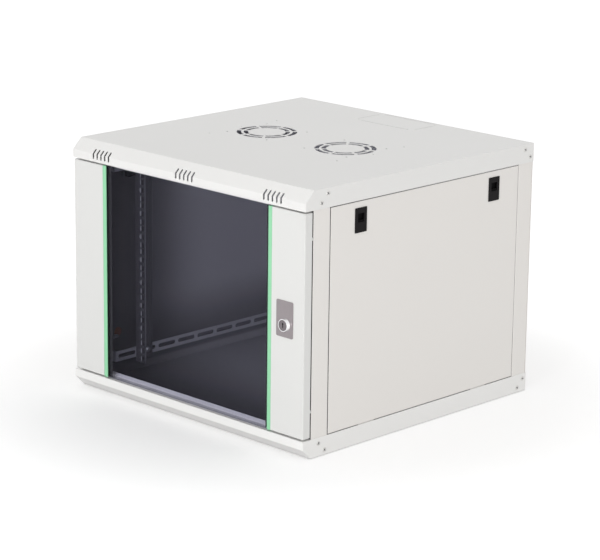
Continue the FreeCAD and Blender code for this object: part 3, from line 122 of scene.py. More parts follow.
class Finish:
    """One material under construction: its node tree and its main shader."""

    def __init__(self, name):
        self.material = bpy.data.materials.new(name)
        self.material.use_nodes = True
        self.tree = self.material.node_tree
        self.shader = self.tree.nodes["Principled BSDF"]

    def node(self, kind, settings=None, **sockets):
        """Adds any node: its settings first, then a value or a Signal for each named socket."""
        node = self.tree.nodes.new(kind)
        for name, value in (settings or {}).items():
            setattr(node, name, value)
        for name, value in sockets.items():
            self.feed(node, name.replace("_", " "), value)
        return node

    def feed(self, node, name, value):
        """Gives a node's socket a plain value, or links a Signal to it."""
        socket = next(item for item in node.inputs if item.name == name and item.enabled)
        if isinstance(value, Signal):
            self.tree.links.new(value.socket, socket)
        else:
            socket.default_value = value

    def out(self, node, name=None):
        """The node's named output, or its first one, as a Signal."""
        socket = node.outputs[0] if name is None else node.outputs[name]
        return Signal(self.tree, socket)

    def place(self, scale=(1, 1, 1)):
        """Where a point lies on its piece, in metres, stretched by a scale along each axis."""
        here = self.out(self.node("ShaderNodeTexCoord"), "Object")
        return self.out(self.node("ShaderNodeMapping", Vector=here, Scale=scale))

    def noise(self, size, scale=(1, 1, 1), detail=2.0):
        """Cloudy noise from 0 to 1 whose patches are about `size` metres across."""
        node = self.node(
            "ShaderNodeTexNoise", Vector=self.place(scale), Scale=1 / size, Detail=detail,
        )
        return self.out(node)

    def part(self, vector, axis):
        """One coordinate of a vector."""
        return self.out(self.node("ShaderNodeSeparateXYZ", Vector=vector), axis)

    def spot(self, axis):
        """Where a point lies along one axis, in metres."""
        return self.part(self.place(), axis)

    def facing(self, axis):
        """How far the surface faces along one axis, from -1 to 1."""
        return self.part(self.out(self.node("ShaderNodeNewGeometry"), "True Normal"), axis)

    def smooth_step(self, value, start, end, low=0.0, high=1.0):
        """Rises smoothly from low to high while the value goes from start to end."""
        return self.out(self.node(
            "ShaderNodeMapRange", {"interpolation_type": "SMOOTHSTEP"}, Value=value,
            From_Min=start, From_Max=end, To_Min=low, To_Max=high,
        ))

    def mix(self, share, first, second):
        """A colour that goes from the first to the second as the share goes from 0 to 1."""
        node = self.node("ShaderNodeMix", {"data_type": "RGBA"}, Factor=share, A=first, B=second)
        return Signal(self.tree, next(item for item in node.outputs if item.enabled))

    def relief(self, signal, depth):
        """Raises the surface by the signal times a depth in metres, for the eye only."""
        bump = self.node("ShaderNodeBump", Height=signal, Distance=depth, Strength=1.0)
        self.feed(self.shader, "Normal", self.out(bump))

    def set(self, **sockets):
        """Sets or links the main shader's sockets."""
        for name, value in sockets.items():
            self.feed(self.shader, name.replace("_", " "), value)

    def surface(self):
        """The socket of the material's output that takes its shader."""
        return self.tree.nodes["Material Output"].inputs["Surface"]

    def blend(self, share, first, second, output):
        """Links an output to a blend of two shader nodes: the second's share goes from 0 to 1."""
        node = self.node("ShaderNodeMixShader", Fac=share)
        shaders = [socket for socket in node.inputs if socket.type == "SHADER"]
        self.tree.links.new(first.outputs[0], shaders[0])
        self.tree.links.new(second.outputs[0], shaders[1])
        self.tree.links.new(node.outputs[0], output)


def tone(red, green, blue, alpha=1.0):
    """A linear colour with its fourth number."""
    return (red, green, blue, alpha)


def size_of(signal):
    """The number without its sign: the root of its square."""
    return (signal * signal) ** 0.5


def stand(name, data):
    """An object for a mesh, lamp or camera, put into the scene."""
    thing = bpy.data.objects.new(name, data)
    bpy.context.scene.collection.objects.link(thing)
    return thing


# %% [markdown]
# ## Powder coat
# The sheet metal is sprayed with powder and baked. Close up it is a fine orange peel under a low
# sheen; from further off the colour drifts a very little over each panel. Both are noise: the
# first goes into the relief, the second between two neighbouring tones. Inside the cabinet the
# colour is painted shade: near black behind the front posts, paler by mid depth, and darker again
# low on the walls. A point is inside when it lies within the box that the outer sheets' middle
# planes enclose. Faces that look down get painted shade as well.


# %% Where the sheets are
SHEET = 0.0012
post_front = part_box("front_post_left")[0].y
cover_low, cover_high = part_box("bottom_cover")[0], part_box("top_cover")[1]
panel_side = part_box("side_panel_right")[1].x
panel_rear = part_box("rear_panel")[1].y
COVER_SHELL = (cover_high.x, cover_high.y, post_front + SHEET / 2)
PANEL_SHELL = (panel_side, panel_rear, post_front - SHEET / 2)


def between(finish, axis, low, high, mirrored=False):
    """1 where the place along an axis, or its size if mirrored, is from low to high, else 0."""
    here = finish.spot(axis)
    if mirrored:
        here = size_of(here)
    test = finish.node("ShaderNodeMath", {"operation": "COMPARE"}, Value=here)
    test.inputs[1].default_value = (low + high) / 2
    test.inputs[2].default_value = (high - low) / 2
    return finish.out(test)


def inside(finish, shell):
    """1 within the box that the outer sheets' middle planes enclose, else 0."""
    side, rear, front = shell
    low = (-side + SHEET / 2, front, cover_low.z + SHEET / 2)
    high = (side - SHEET / 2, rear - SHEET / 2, cover_high.z - SHEET / 2)
    share = 1
    for axis, *ends in zip("XYZ", low, high):
        share = between(finish, axis, *ends) * share
    return share


# %% Painted highlight and shade that follow the faces
# Painted highlight on sideways faces of the rail's front sheet: this share of it away from the
# holes.
HIGHLIGHT_BESIDE_HOLES = 0.25


def cut_edges(finish, front, back, holes_from, holes_to):
    """Share of painted highlight, pale as bare cut steel: sideways faces between two depths, all of
    it in the column of holes.
    """
    sideways = finish.facing("X")
    holes = between(finish, "X", holes_from, holes_to, mirrored=True)
    share = HIGHLIGHT_BESIDE_HOLES + (1 - HIGHLIGHT_BESIDE_HOLES) * holes
    return between(finish, "Y", front, back) * sideways * sideways * share


def tilt(finish, sign):
    """How far a face looks up, or down if sign is -1: (size of the normal's Z + sign * Z) / 2."""
    up = finish.facing("Z")
    return (size_of(up) + sign * up) * 0.5


def upper_rim(finish):
    """How far a face in the outer half of a side panel's sheet looks up: these faces take painted
    shade.
    """
    half = between(finish, "X", panel_side - SHEET / 2, panel_side - SHEET / 20, mirrored=True)
    return tilt(finish, 1) * half


# %% The painted shade inside
SHADED_TO_OPEN = (post_front * 0.90, post_front * -0.2)  # depths between which the painted shade goes from darkest to lightest
LOW_WALL = (0.060, 0.155)  # heights between which the painted shade at the foot of the walls lightens
FLOOR_SKIN = (0.020, 0.012)  # below this the floor of the cabinet begins, which is spared the walls' darker foot
LOW_DARK = 0.55  # share of the lightening that the painted shade at the foot of the walls takes back


def inner_coat(finish, shaded, open_part):
    """Painted shade inside: darkest behind the front posts, lightest by mid depth, half way low on
    the walls.
    """
    share = finish.smooth_step(finish.spot("Y"), *SHADED_TO_OPEN)
    height = finish.spot("Z")
    on_floor = finish.smooth_step(height, *FLOOR_SKIN)
    above_foot = 1 - (1 - finish.smooth_step(height, *LOW_WALL)) * (1 - on_floor)
    return finish.mix(share * (1 - LOW_DARK + LOW_DARK * above_foot), shaded, open_part)


# %% Powder coat
# Painted shade on faces that look down: up to this share of a grey tone.
DOWNWARD_SHADE_SHARE = 0.45
DOWNWARD_SHADE_TONE = tone(0.42, 0.41, 0.415)
# Tone of the painted highlight on the rails' hole walls, pale as bare cut steel.
EDGE_HIGHLIGHT_TONE = tone(0.95, 0.95, 0.96)


def powder_coat(name, light, dark, shade_tones, shell=PANEL_SHELL, edges=None, rims=None):
    """Pale paint: drifting tone, orange peel in the relief, a broken sheen, painted shade inside.

    Edges says where a painted highlight, pale as bare cut steel, goes, and rims where the outer
    tone runs round a sheet's edge, free of painted shade.
    """
    finish = Finish(name)
    drift = finish.noise(0.22, detail=3.0)
    grain = finish.noise(0.0011, detail=1.0)
    peel = finish.noise(0.0024, detail=0.0)
    coat = finish.mix(drift * 0.8 + grain * 0.2, light, dark)
    # Painted shade on faces that look down.
    coat = finish.mix(tilt(finish, -1) * DOWNWARD_SHADE_SHARE, coat, DOWNWARD_SHADE_TONE)
    # Painted shade inside the cabinet, a little uneven with the drift.
    shade_share = inside(finish, shell) * (0.9 + 0.1 * drift)
    if rims:
        side = shell[0]
        sheet = between(finish, "X", side - SHEET * 0.96, side + SHEET, mirrored=True)
        shade_share = shade_share * (1 - sheet * between(finish, *rims))
    coat = finish.mix(shade_share, coat, inner_coat(finish, *shade_tones))
    # Painted shade on the side panels' up-facing rims, in the gap under the top cover.
    if shell is PANEL_SHELL:
        coat = finish.mix(upper_rim(finish), coat, shade_tones[0])
    # Painted highlight on the hole walls.
    if edges:
        coat = finish.mix(cut_edges(finish, *edges), coat, EDGE_HIGHLIGHT_TONE)
    finish.set(Base_Color=coat, Roughness=0.45 + 0.10 * (grain - 0.5))
    finish.relief(peel * 0.7 + grain * 0.3, 0.00007)
    return finish.material


# %% The coats of paint, with a lighter copy that paints light and a darker one that paints shade
REAR_PART = 0.2  # the rear posts stand behind this depth
FLANGE_TOP = 0.05  # the base cover's side flanges end below this height
RAIL_FACE = 0.0021  # a little more than the rail's sheet
HOLE_COLUMN = (0.001, 0.018)  # the square holes lie between these distances from the inner edge
# Painted shade inside: its darkest tone, behind the front posts, and its lightest, at mid depth.
INNER_SHADE_TONES = (tone(0.024, 0.024, 0.025), tone(0.63, 0.63, 0.645))
RAIL_SHADE_TONES = (tone(0.10, 0.10, 0.105), tone(0.20, 0.20, 0.205))
rail_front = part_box("rack_rail_left")[0].y
rail_inner_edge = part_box("rack_rail_right")[0].x
cabinet_paint = powder_coat(
    "cabinet_powder_coat", tone(0.85, 0.825, 0.795), tone(0.825, 0.80, 0.77), INNER_SHADE_TONES,
    rims=("Y", REAR_PART, panel_rear),
)
cover_paint = powder_coat(
    "cover_powder_coat", tone(0.855, 0.85, 0.835), tone(0.825, 0.82, 0.805), INNER_SHADE_TONES, COVER_SHELL,
)
# A lighter copy of the covers' paint on the base: painted light on the bottom lip.
base_paint_lit = powder_coat(
    "base_powder_coat_painted_light", tone(0.89, 0.885, 0.87), tone(0.86, 0.855, 0.84), INNER_SHADE_TONES, COVER_SHELL,
    rims=("Z", 0.0, FLANGE_TOP),
)
# A darker copy of the paint on the door stiles: painted shade.
door_paint_shaded = powder_coat(
    "door_powder_coat_painted_shade", tone(0.77, 0.77, 0.755), tone(0.745, 0.745, 0.73), INNER_SHADE_TONES,
)
rail_paint = powder_coat(
    "rail_powder_coat", tone(0.60, 0.60, 0.60), tone(0.56, 0.56, 0.56), RAIL_SHADE_TONES,
    edges=(rail_front, rail_front + RAIL_FACE, *(rail_inner_edge + step for step in HOLE_COLUMN)),
)

# %% [markdown]
# ## Plated steel
# Screws, nuts, bars and the lock are steel or zinc with a thin plating. Zinc is a soft grey with
# cloudy patches, the lock plate is brushed up and down, and the lock bezel is polished chrome.


# %% Zinc, brushed plate and chrome
def zinc_plating(name, light, dark, rough, metal=1.0):
    """Satin zinc: cloudy patches of two greys, with fine scratches in the relief."""
    finish = Finish(name)
    cloud = finish.noise(0.006, detail=4.0)
    scratch = finish.noise(0.0006, (1, 1, 0.12), detail=2.0)
    finish.set(
        Base_Color=finish.mix(cloud, light, dark),
        Metallic=metal,
        Roughness=rough + 0.15 * (cloud - 0.5) + 0.08 * (scratch - 0.5),
    )
    finish.relief(scratch, 0.00003)
    return finish.material


def brushed_plate(name, light, dark, rough):
    """Satin plate whose brush lines run upright: noise squeezed across and drawn out upwards."""
    finish = Finish(name)
    lines = finish.noise(0.0004, (1, 1, 0.02), detail=3.0)
    cloud = finish.noise(0.02, detail=2.0)
    finish.set(
        Base_Color=finish.mix(0.7 * lines + 0.3 * cloud, light, dark),
        Metallic=0.85,
        Roughness=rough + 0.16 * (lines - 0.5),
    )
    finish.relief(lines, 0.00004)
    return finish.material


def polished_chrome(name, colour, rough):
    """Mirror plating with the faint haze that handling leaves."""
    finish = Finish(name)
    haze = finish.noise(0.004, detail=3.0)
    finish.set(Base_Color=colour, Metallic=1.0, Roughness=rough + 0.08 * haze)
    finish.relief(haze, 0.00001)
    return finish.material


zinc = zinc_plating("zinc_plating", tone(0.62, 0.63, 0.65), tone(0.48, 0.49, 0.51), 0.36)
bar_zinc = zinc_plating(
    "bar_zinc_sheet", tone(0.78, 0.79, 0.81), tone(0.70, 0.71, 0.73), 0.50, 0.25,
)
plate_satin = brushed_plate(
    "lock_plate_satin", tone(0.36, 0.325, 0.335), tone(0.27, 0.243, 0.253), 0.42,
)
bezel_chrome = polished_chrome("lock_bezel_chrome", tone(0.86, 0.86, 0.87), 0.10)
core_nickel = zinc_plating(
    "lock_core_nickel", tone(0.24, 0.22, 0.23), tone(0.15, 0.135, 0.145), 0.34,
)

# %% [markdown]
# ## Plastics
# The latches are black moulded plastic with a spark-eroded grain, and their sliders are blacker
# still. The bumpers are a softer white plastic, and the edge strips are extruded green plastic with
# faint draw lines.


# %% Plastics
def moulded_plastic(name, light, dark, rough, gloss=0.5, depth=0.00006):
    """Moulded plastic: fine even grain, slightly shinier where the grain is worn."""
    finish = Finish(name)
    grain = finish.noise(0.0005, detail=2.0)
    cloud = finish.noise(0.012, detail=2.0)
    finish.set(
        Base_Color=finish.mix(cloud, light, dark),
        Roughness=rough + 0.12 * (grain - 0.5) + 0.05 * (cloud - 0.5),
    )
    finish.shader.inputs["Specular IOR Level"].default_value = gloss
    finish.relief(grain, depth)
    return finish.material


# Painted shade on the strips' sides, a deep green near black.
STRIP_SIDE_SHADE = tone(0.020, 0.050, 0.032)


def drawn_plastic(name, light, dark, rough):
    """Extruded plastic: upright draw lines, and painted shade, deep green, on the sides."""
    finish = Finish(name)
    lines = finish.noise(0.0009, (1, 1, 0.01), detail=2.0)
    cloud = finish.noise(0.05, detail=2.0)
    sideways = finish.facing("X")
    face = finish.mix(0.5 * lines + 0.5 * cloud, light, dark)
    finish.set(
        Base_Color=finish.mix((sideways * sideways) ** 4, face, STRIP_SIDE_SHADE),
        Roughness=rough + 0.10 * (lines - 0.5),
    )
    finish.relief(lines, 0.00005)
    return finish.material


black_plastic = moulded_plastic(
    "latch_black_plastic", tone(0.0075, 0.006, 0.0065), tone(0.0045, 0.0035, 0.004), 0.55, 0.12,
)
slider_plastic = moulded_plastic(
    "slider_black_plastic", tone(0.0018, 0.0014, 0.0016), tone(0.001, 0.0008, 0.001), 0.62, 0.05,
)
white_plastic = moulded_plastic(
    "bumper_white_plastic", tone(0.82, 0.82, 0.81), tone(0.76, 0.76, 0.75), 0.5,
)
green_plastic = drawn_plastic(
    "edge_strip_green", tone(0.32, 0.74, 0.44), tone(0.28, 0.67, 0.39), 0.34,
)

# %% [markdown]
# ## Tinted glass
# The door glass takes a share of every colour, a little less of blue, and mirrors more the flatter
# one looks along it. Each face of the pane is a mix of two shaders: one lets light through in the
# tint, the other is a smoked mirror. Schlick's rule says how much of each: 4% face on, and all of
# it along the glass. Layer Weight measures that from both sides alike, while the Fresnel node would
# turn the inner side into a full mirror. A ray crosses two faces, so a face takes the square root
# of what the whole pane takes.


# %% Tinted glass
def tinted_pane(name, pane_tint, mirror_tint):
    """See-through pane: mirror = 0.04 + 0.96 * slant ** 5, colour per face = root of the pane's."""
    finish = Finish(name)
    smear = finish.noise(0.05, (1, 1, 0.4), detail=5.0)
    slant = finish.out(finish.node("ShaderNodeLayerWeight", Blend=0.5), "Facing")
    mirror = 0.04 + 0.96 * slant ** 5
    face_tint = tone(*(math.sqrt(part) for part in pane_tint))
    clear = finish.node("ShaderNodeBsdfTransparent", Color=face_tint)
    finish.set(
        Base_Color=tone(*mirror_tint), Metallic=1.0, Roughness=0.012 + 0.02 * smear,
    )
    finish.blend(mirror * (0.9 + 0.2 * smear), clear, finish.shader, finish.surface())
    return finish.material


door_glass = tinted_pane("door_tinted_glass", (0.70, 0.70, 0.785), (0.15, 0.147, 0.175))

# %% [markdown]
# ## Hand the finishes out
# The record says which slot each solid belongs to, so one table from slot to finish dresses all
# of them. A few solids share a slot with others and still look different: they come second.

# %% Finishes on the solids
FINISH_OF_SLOT = {
    "cabinet_paint": cabinet_paint,
    "rail_paint": rail_paint,
    "zinc_sheet": bar_zinc,
    "black_plastic": black_plastic,
    "tinted_glass": door_glass,
    "green_strip": green_plastic,
    "lock_plate_metal": plate_satin,
    "lock_chrome": bezel_chrome,
    "white_plastic": white_plastic,
    "plated_steel": zinc,
}
FINISH_OF_NODE = {
    "latch_slider_left_front": slider_plastic,
    "latch_slider_left_rear": slider_plastic,
    "latch_slider_right_front": slider_plastic,
    "latch_slider_right_rear": slider_plastic,
    "lock_core": core_nickel,
    "top_cover": cover_paint,
    "bottom_cover": base_paint_lit,
    "door_stile_left": door_paint_shaded,
    "door_stile_right": door_paint_shaded,
}

for entry in record["subparts"]:
    solid = frame["nodes"][entry["node"]]
    solid.data.materials.clear()
    solid.data.materials.append(
        FINISH_OF_NODE.get(entry["node"], FINISH_OF_SLOT[entry["material_slot"]])
    )
print("dressed", len(record["subparts"]), "solids")

# %% [markdown]
# ## Cross-head screws
# The covers are held by pan-head screws, two at each corner of either side, and each head has a
# cross recess. A head is a surface of revolution whose top is pressed down where the cross is, so
# it can be one height above a round grid: a dome, minus a cross-shaped pocket with sloping walls.


# %% The shape of one screw
HEAD_RINGS = 17  # from the middle of the head to its edge
CROWN = 0.45  # how far the dome falls towards its edge, as a share of its height
ARM_HALF_WIDTH = 0.18  # of the cross, as a share of the radius
ARM_REACH = 0.70  # of the cross, as a share of the radius
CROSS_DEPTH = 0.75  # as a share of the head's height
POCKET_FLOOR = 0.3  # deeper than this share of the height, a point is in the pocket


def dome(radius, height, r):
    """Height of the plain head: height * (1 - 0.45 * (r / radius) ** 2)."""
    return height * (1 - CROWN * (r / radius) ** 2)


def screw_surface(radius, height, shank_radius, length, around=72):
    """Points of one screw along +Z, head up, seat at 0: rings (dome, rim, shank) times angles.

    Head: dome - depth * arm(min(|x|, |y|)) * reach(max(|x|, |y|)), where arm and reach fall
    from 1 to 0 over a short slope.
    """
    angle = np.linspace(0, 2 * np.pi, around, endpoint=False)
    ring = radius * np.linspace(0.02, 1, HEAD_RINGS)
    r, a = np.meshgrid(ring, angle, indexing="ij")
    x, y = r * np.cos(a), r * np.sin(a)
    narrow, wide = np.minimum(abs(x), abs(y)), np.maximum(abs(x), abs(y))
    slope = radius * 0.10
    arm = np.clip((radius * ARM_HALF_WIDTH - narrow) / slope + 0.5, 0, 1)
    reach = np.clip((radius * ARM_REACH - wide) / (slope * 2) + 0.5, 0, 1)
    z = dome(radius, height, r) - height * CROSS_DEPTH * arm * reach
    head = np.stack([x, y, z], axis=-1)
    lower = np.array([
        [radius, 0.0], [shank_radius, 0.0], [shank_radius, -length], [0.0002, -length],
    ])
    tail = np.stack([
        lower[:, :1] * np.cos(angle), lower[:, :1] * np.sin(angle), lower[:, 1:] + 0 * angle,
    ], axis=-1)
    return np.concatenate([head, tail])


def pocket_faces(grid, radius, height):
    """True for each face of the cross pocket: all four corners lie well below the dome."""
    x, y, z = np.moveaxis(grid[:HEAD_RINGS], -1, 0)
    deep = dome(radius, height, np.hypot(x, y)) - z > height * POCKET_FLOOR
    deep = np.concatenate([deep, np.zeros((len(grid) - HEAD_RINGS, deep.shape[1]), bool)])
    beside = np.roll(deep, -1, axis=1)
    faces = deep[:-1] & deep[1:] & beside[:-1] & beside[1:]
    return np.append(faces.ravel(), [deep[0].all(), False])


# %% From rings of points to a mesh
def closed_grid_mesh(name, grid):
    """A mesh from rings of points, closed at both ends, facing outwards."""
    rings, around = grid.shape[:2]
    ring, step = np.meshgrid(np.arange(rings - 1), np.arange(around), indexing="ij")
    after = (step + 1) % around
    quads = np.stack([
        ring * around + step, (ring + 1) * around + step,
        (ring + 1) * around + after, ring * around + after,
    ], axis=-1).reshape(-1, 4)
    caps = [list(range(around)), list(range((rings - 1) * around, rings * around))[::-1]]
    mesh = bpy.data.meshes.new(name)
    mesh.from_pydata(grid.reshape(-1, 3).tolist(), [], quads.tolist() + caps)
    mesh.update()
    return mesh


def join_meshes(name, meshes):
    """One object from several meshes that all stand in the cabinet's frame."""
    points, faces, start = [], [], 0
    for mesh in meshes:
        points += [tuple(vertex.co) for vertex in mesh.vertices]
        faces += [[start + i for i in polygon.vertices] for polygon in mesh.polygons]
        start += len(mesh.vertices)
        bpy.data.meshes.remove(mesh)
    joined = bpy.data.meshes.new(name)
    joined.from_pydata(points, [], faces)
    joined.update()
    return stand(name, joined)


# %% [markdown]
# ## Put the screws where the solids have theirs
# The solids hold every screw of a group in one mesh. Seen along the screws' axis, the points of
# one screw huddle round its centre, so the centres are found by gathering points that lie close
# together, one screw after the other. A mechanic leaves every cross at another angle.


# %% Screw centres
def huddles(points, reach):
    """Centres of the clusters in a set of flat points, found by points closer than `reach`."""
    left = points
    centres = []
    while len(left):
        near = np.linalg.norm(left - left[0], axis=1) < reach
        cluster = left[near]
        centres.append((cluster.min(0) + cluster.max(0)) / 2)
        left = left[~near]
    return np.array(centres)


def node_points(node):
    """All points of a solid's mesh, as rows of three coordinates."""
    mesh = frame["nodes"][node].data
    points = np.zeros(len(mesh.vertices) * 3)
    mesh.vertices.foreach_get("co", points)
    return points.reshape(-1, 3)


def oriented(grid, centre, outward, spin):
    """The screw's points turned so that its head looks `outward`, then moved to its centre."""
    turn = Vector((0, 0, 1)).rotation_difference(Vector(outward)).to_matrix()
    turn = np.array(turn @ Matrix.Rotation(spin, 3, "Z"))
    return grid @ turn.T + np.array(centre)


# %% Screws
ONE_SCREW = 0.009  # points of one screw lie closer together than this
HEAD_REACH = 0.006  # and closer to its centre than this
FIRST_SPIN, NEXT_SPIN = 0.4, 1.7  # radians


def screw_set(name, node, axis, head_height, length, shank_radius):
    """Replaces a group of plain screws by screws with a cross recess, at the same places."""
    points = node_points(node)
    middle = (cad_bounds[0][axis] + cad_bounds[1][axis]) / 2
    flat = [i for i in range(3) if i != axis]
    pieces, pockets = [], []
    for sign in (-1, 1):
        side = points[(points[:, axis] - middle) * sign > 0]
        top = (side[:, axis] * sign).max() * sign
        for number, pair in enumerate(huddles(side[:, flat], ONE_SCREW)):
            nearby = side[np.linalg.norm(side[:, flat] - pair, axis=1) < HEAD_REACH]
            radius = np.abs(nearby[:, flat] - pair).max()
            centre, outward = np.zeros(3), np.zeros(3)
            centre[flat] = pair
            centre[axis] = top - sign * head_height
            outward[axis] = sign
            grid = screw_surface(radius, head_height, shank_radius, length)
            pockets.append(pocket_faces(grid, radius, head_height))
            pieces.append(oriented(grid, centre, outward, FIRST_SPIN + NEXT_SPIN * number))
    meshes = [closed_grid_mesh(f"{name}_{i}", grid) for i, grid in enumerate(pieces)]
    piece = join_meshes(name, meshes)
    piece.data.materials.append(screw_zinc)
    piece.data.materials.append(pocket_shade)
    piece.data.polygons.foreach_set("material_index", np.concatenate(pockets).astype(int))
    return piece


screw_zinc = zinc_plating(
    "screw_zinc", tone(0.80, 0.79, 0.77), tone(0.68, 0.67, 0.65), 0.34, 0.5,
)
pocket_shade = zinc_plating(
    "screw_pocket_shade", tone(0.17, 0.17, 0.18), tone(0.11, 0.11, 0.115), 0.5,
)
cover_screws = screw_set(
    "cover_screws_cross_head", "corner_screws", axis=0,
    head_height=0.0016, length=0.010, shank_radius=0.0024,
)
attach(cover_screws, "cabinet")
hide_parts("corner_screws")
print("cover screws", len(cover_screws.data.polygons), "faces")

# %% [markdown]
# ## The coil of the sprung hinge pin
# The spring sits between a bracket in the door and the collar of the upper pin. A tube carried
# along a helix makes it, with the end coils wound close so that they sit flat. It hangs on the
# door at its rest length.


# %% Hinge spring
SPRING_TURNS = 7
WIRE_RADIUS = 0.0005
CLOSE_PITCH = 0.35  # pitch at the very ends, as a share of the pitch in the middle


def coil_grid(low, high, turns, wire, along=360, around=10):
    """Rings of a tube along a helix: angle = 2 pi * turns * t, height = the pitch summed over t.

    The pitch rises from its share at either end to 1 within the first and last turn.
    """
    t = np.linspace(0, 1, along)
    angle = 2 * np.pi * turns * t
    radius = (high[0] - low[0]) / 2 - wire
    pitch = np.clip(np.minimum(t, 1 - t) * turns, CLOSE_PITCH, 1.0)
    rise = np.concatenate([[0], np.cumsum((pitch[1:] + pitch[:-1]) / 2)])
    height = low[2] + wire + rise / rise[-1] * (high[2] - low[2] - 2 * wire)
    middle = (np.array(low) + np.array(high)) / 2
    out = np.stack([np.cos(angle), np.sin(angle), 0 * angle], axis=-1)
    path = middle * (1, 1, 0) + radius * out + height[:, None] * np.array((0, 0, 1))
    section = np.linspace(0, -2 * np.pi, around, endpoint=False)
    ahead = np.gradient(path, axis=0)
    ahead /= np.linalg.norm(ahead, axis=1, keepdims=True)
    above = np.cross(ahead, out)
    ring = np.cos(section)[:, None] * out[:, None] + np.sin(section)[:, None] * above[:, None]
    return path[:, None] + wire * ring


spring_low, spring_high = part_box("hinge_spring")
bracket_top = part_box("hinge_bracket")[1].z
pin_travel = next(
    joint["range_m"][1] for joint in record["behaviour"]["joints"]
    if joint["name"] == "hinge_pin_release"
)
coil = join_meshes("hinge_coil_spring", [
    closed_grid_mesh("coil", coil_grid(spring_low, spring_high, SPRING_TURNS, WIRE_RADIUS)),
])
coil.data.materials.append(zinc)
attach(coil, "door")
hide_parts("hinge_spring")
1 - pin_travel / (spring_high.z - bracket_top)
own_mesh(coil)
print("spring", round(spring_high.z - spring_low.z, 4), "m high at rest")

# %% [markdown]
# ## Black border on the glass
# The glass is bonded to a flange on each stile. A black border printed on its inner face hides the
# bond. Along the pane's outer edges a near-black green line lies over it, wider on the right:
# painted shadow of the green strips. Each is a thin sheet just inside the pane, a little wavy in
# thickness as ink is, so that the glass still shines over it.


# %% Border
def ink(name, colour, other, rough=0.5):
    """Screen-printed ink, and the same for a painted shadow: slightly uneven in tone and sheen."""
    finish = Finish(name)
    patch = finish.noise(0.0008, detail=3.0)
    finish.set(Base_Color=finish.mix(patch, colour, other), Roughness=rough + 0.2 * patch)
    return finish.material


def border_sheet(name, low_x, high_x, y, low_z, high_z, columns=6, rows=120):
    """Upright sheet on a grid: y = y0 + 0.00002 * sin(1900 x) * sin(310 z), facing the front."""
    x, z = np.meshgrid(
        np.linspace(low_x, high_x, columns), np.linspace(low_z, high_z, rows), indexing="ij",
    )
    points = np.stack([x, y + 0.00002 * np.sin(1900 * x) * np.sin(310 * z), z], axis=-1)
    column, row = np.meshgrid(np.arange(columns - 1), np.arange(rows - 1), indexing="ij")
    corner = column * rows + row
    quads = np.stack([corner, corner + rows, corner + rows + 1, corner + 1], axis=-1)
    mesh = bpy.data.meshes.new(name)
    mesh.from_pydata(points.reshape(-1, 3).tolist(), [], quads.reshape(-1, 4).tolist())
    return stand(name, mesh)


border_ink = ink("glass_border_ink", tone(0.022, 0.022, 0.025), tone(0.028, 0.028, 0.031), 0.5)
# Painted shadow of the green strips along the pane's edges, in near-black green.
painted_strip_shadow = ink("glass_painted_strip_shadow", tone(0.002, 0.006, 0.004), tone(0.004, 0.009, 0.006), 0.5)
pane_low, pane_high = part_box("door_glass")
BORDER_WIDTH = 0.0113
LINE_WIDTH = {"left": 0.0045, "right": 0.0104}
EDGE_GAP = 0.0002  # the print stops short of the pane's edge
LAYER = 0.0001  # the border lies this far in front of the pane's inner face, the line twice as far

for side, edge, towards in (("left", pane_low.x, 1), ("right", pane_high.x, -1)):
    for kind, layer, width, print_and_shadow in (
        ("border", 1, BORDER_WIDTH, border_ink), ("line", 2, LINE_WIDTH[side], painted_strip_shadow),
    ):
        span = sorted((edge + towards * EDGE_GAP, edge + towards * width))
        band = border_sheet(
            f"glass_{kind}_{side}", *span, pane_high.y - LAYER * layer,
            pane_low.z + EDGE_GAP, pane_high.z - EDGE_GAP,
        )
        band.data.materials.append(print_and_shadow)
        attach(band, "door")

# %% [markdown]
# ## Earth label
# A plain amber disc on the left side panel marks the earth terminal. It is a thin dome: a polar
# grid whose height falls off towards the rim.


# %% Label
LABEL_RADIUS = 0.009
LABEL_HEIGHT = 0.0003
LABEL_DEPTH = 0.042  # from the panel's front edge to the label's middle
LABEL_LEVEL = 0.086  # height of its middle


def label_disc(name, centre, radius, height, rings=12, around=48):
    """Disc that faces +X: x = height * (1 - (r / radius) ** 4) over rings r and angles around."""
    ring, angle = np.meshgrid(
        np.linspace(0.02, 1.0, rings) * radius,
        np.linspace(0, 2 * np.pi, around, endpoint=False), indexing="ij",
    )
    points = np.stack([
        centre[0] + height * (1 - (ring / radius) ** 4),
        centre[1] + ring * np.cos(angle),
        centre[2] + ring * np.sin(angle),
    ], axis=-1).reshape(-1, 3)
    first = np.arange(around)
    after = (first + 1) % around
    shade_tones = np.arange(rings - 1)[:, None] * around
    outer = shade_tones + around
    quads = np.stack([shade_tones + first, outer + first, outer + after, shade_tones + after], axis=-1)
    faces = quads.reshape(-1, 4).tolist() + [first.tolist()]
    mesh = bpy.data.meshes.new(name)
    mesh.from_pydata(points.tolist(), [], faces)
    return stand(name, mesh)


panel_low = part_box("side_panel_left")[0]
label_middle = (panel_low.x + SHEET, panel_low.y + LABEL_DEPTH, LABEL_LEVEL)
earth_label = label_disc("earth_label", label_middle, LABEL_RADIUS, LABEL_HEIGHT)
earth_label.data.materials.append(
    ink("amber_ink", tone(0.30, 0.10, 0.03), tone(0.20, 0.06, 0.025))
)
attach(earth_label, "panel_left")

# %% [markdown]
# ## Rack unit numbers
# Every rack unit has its number printed beside the middle hole. Numbers are text made into flat
# meshes, and they lie a hair in front of the rail's face.


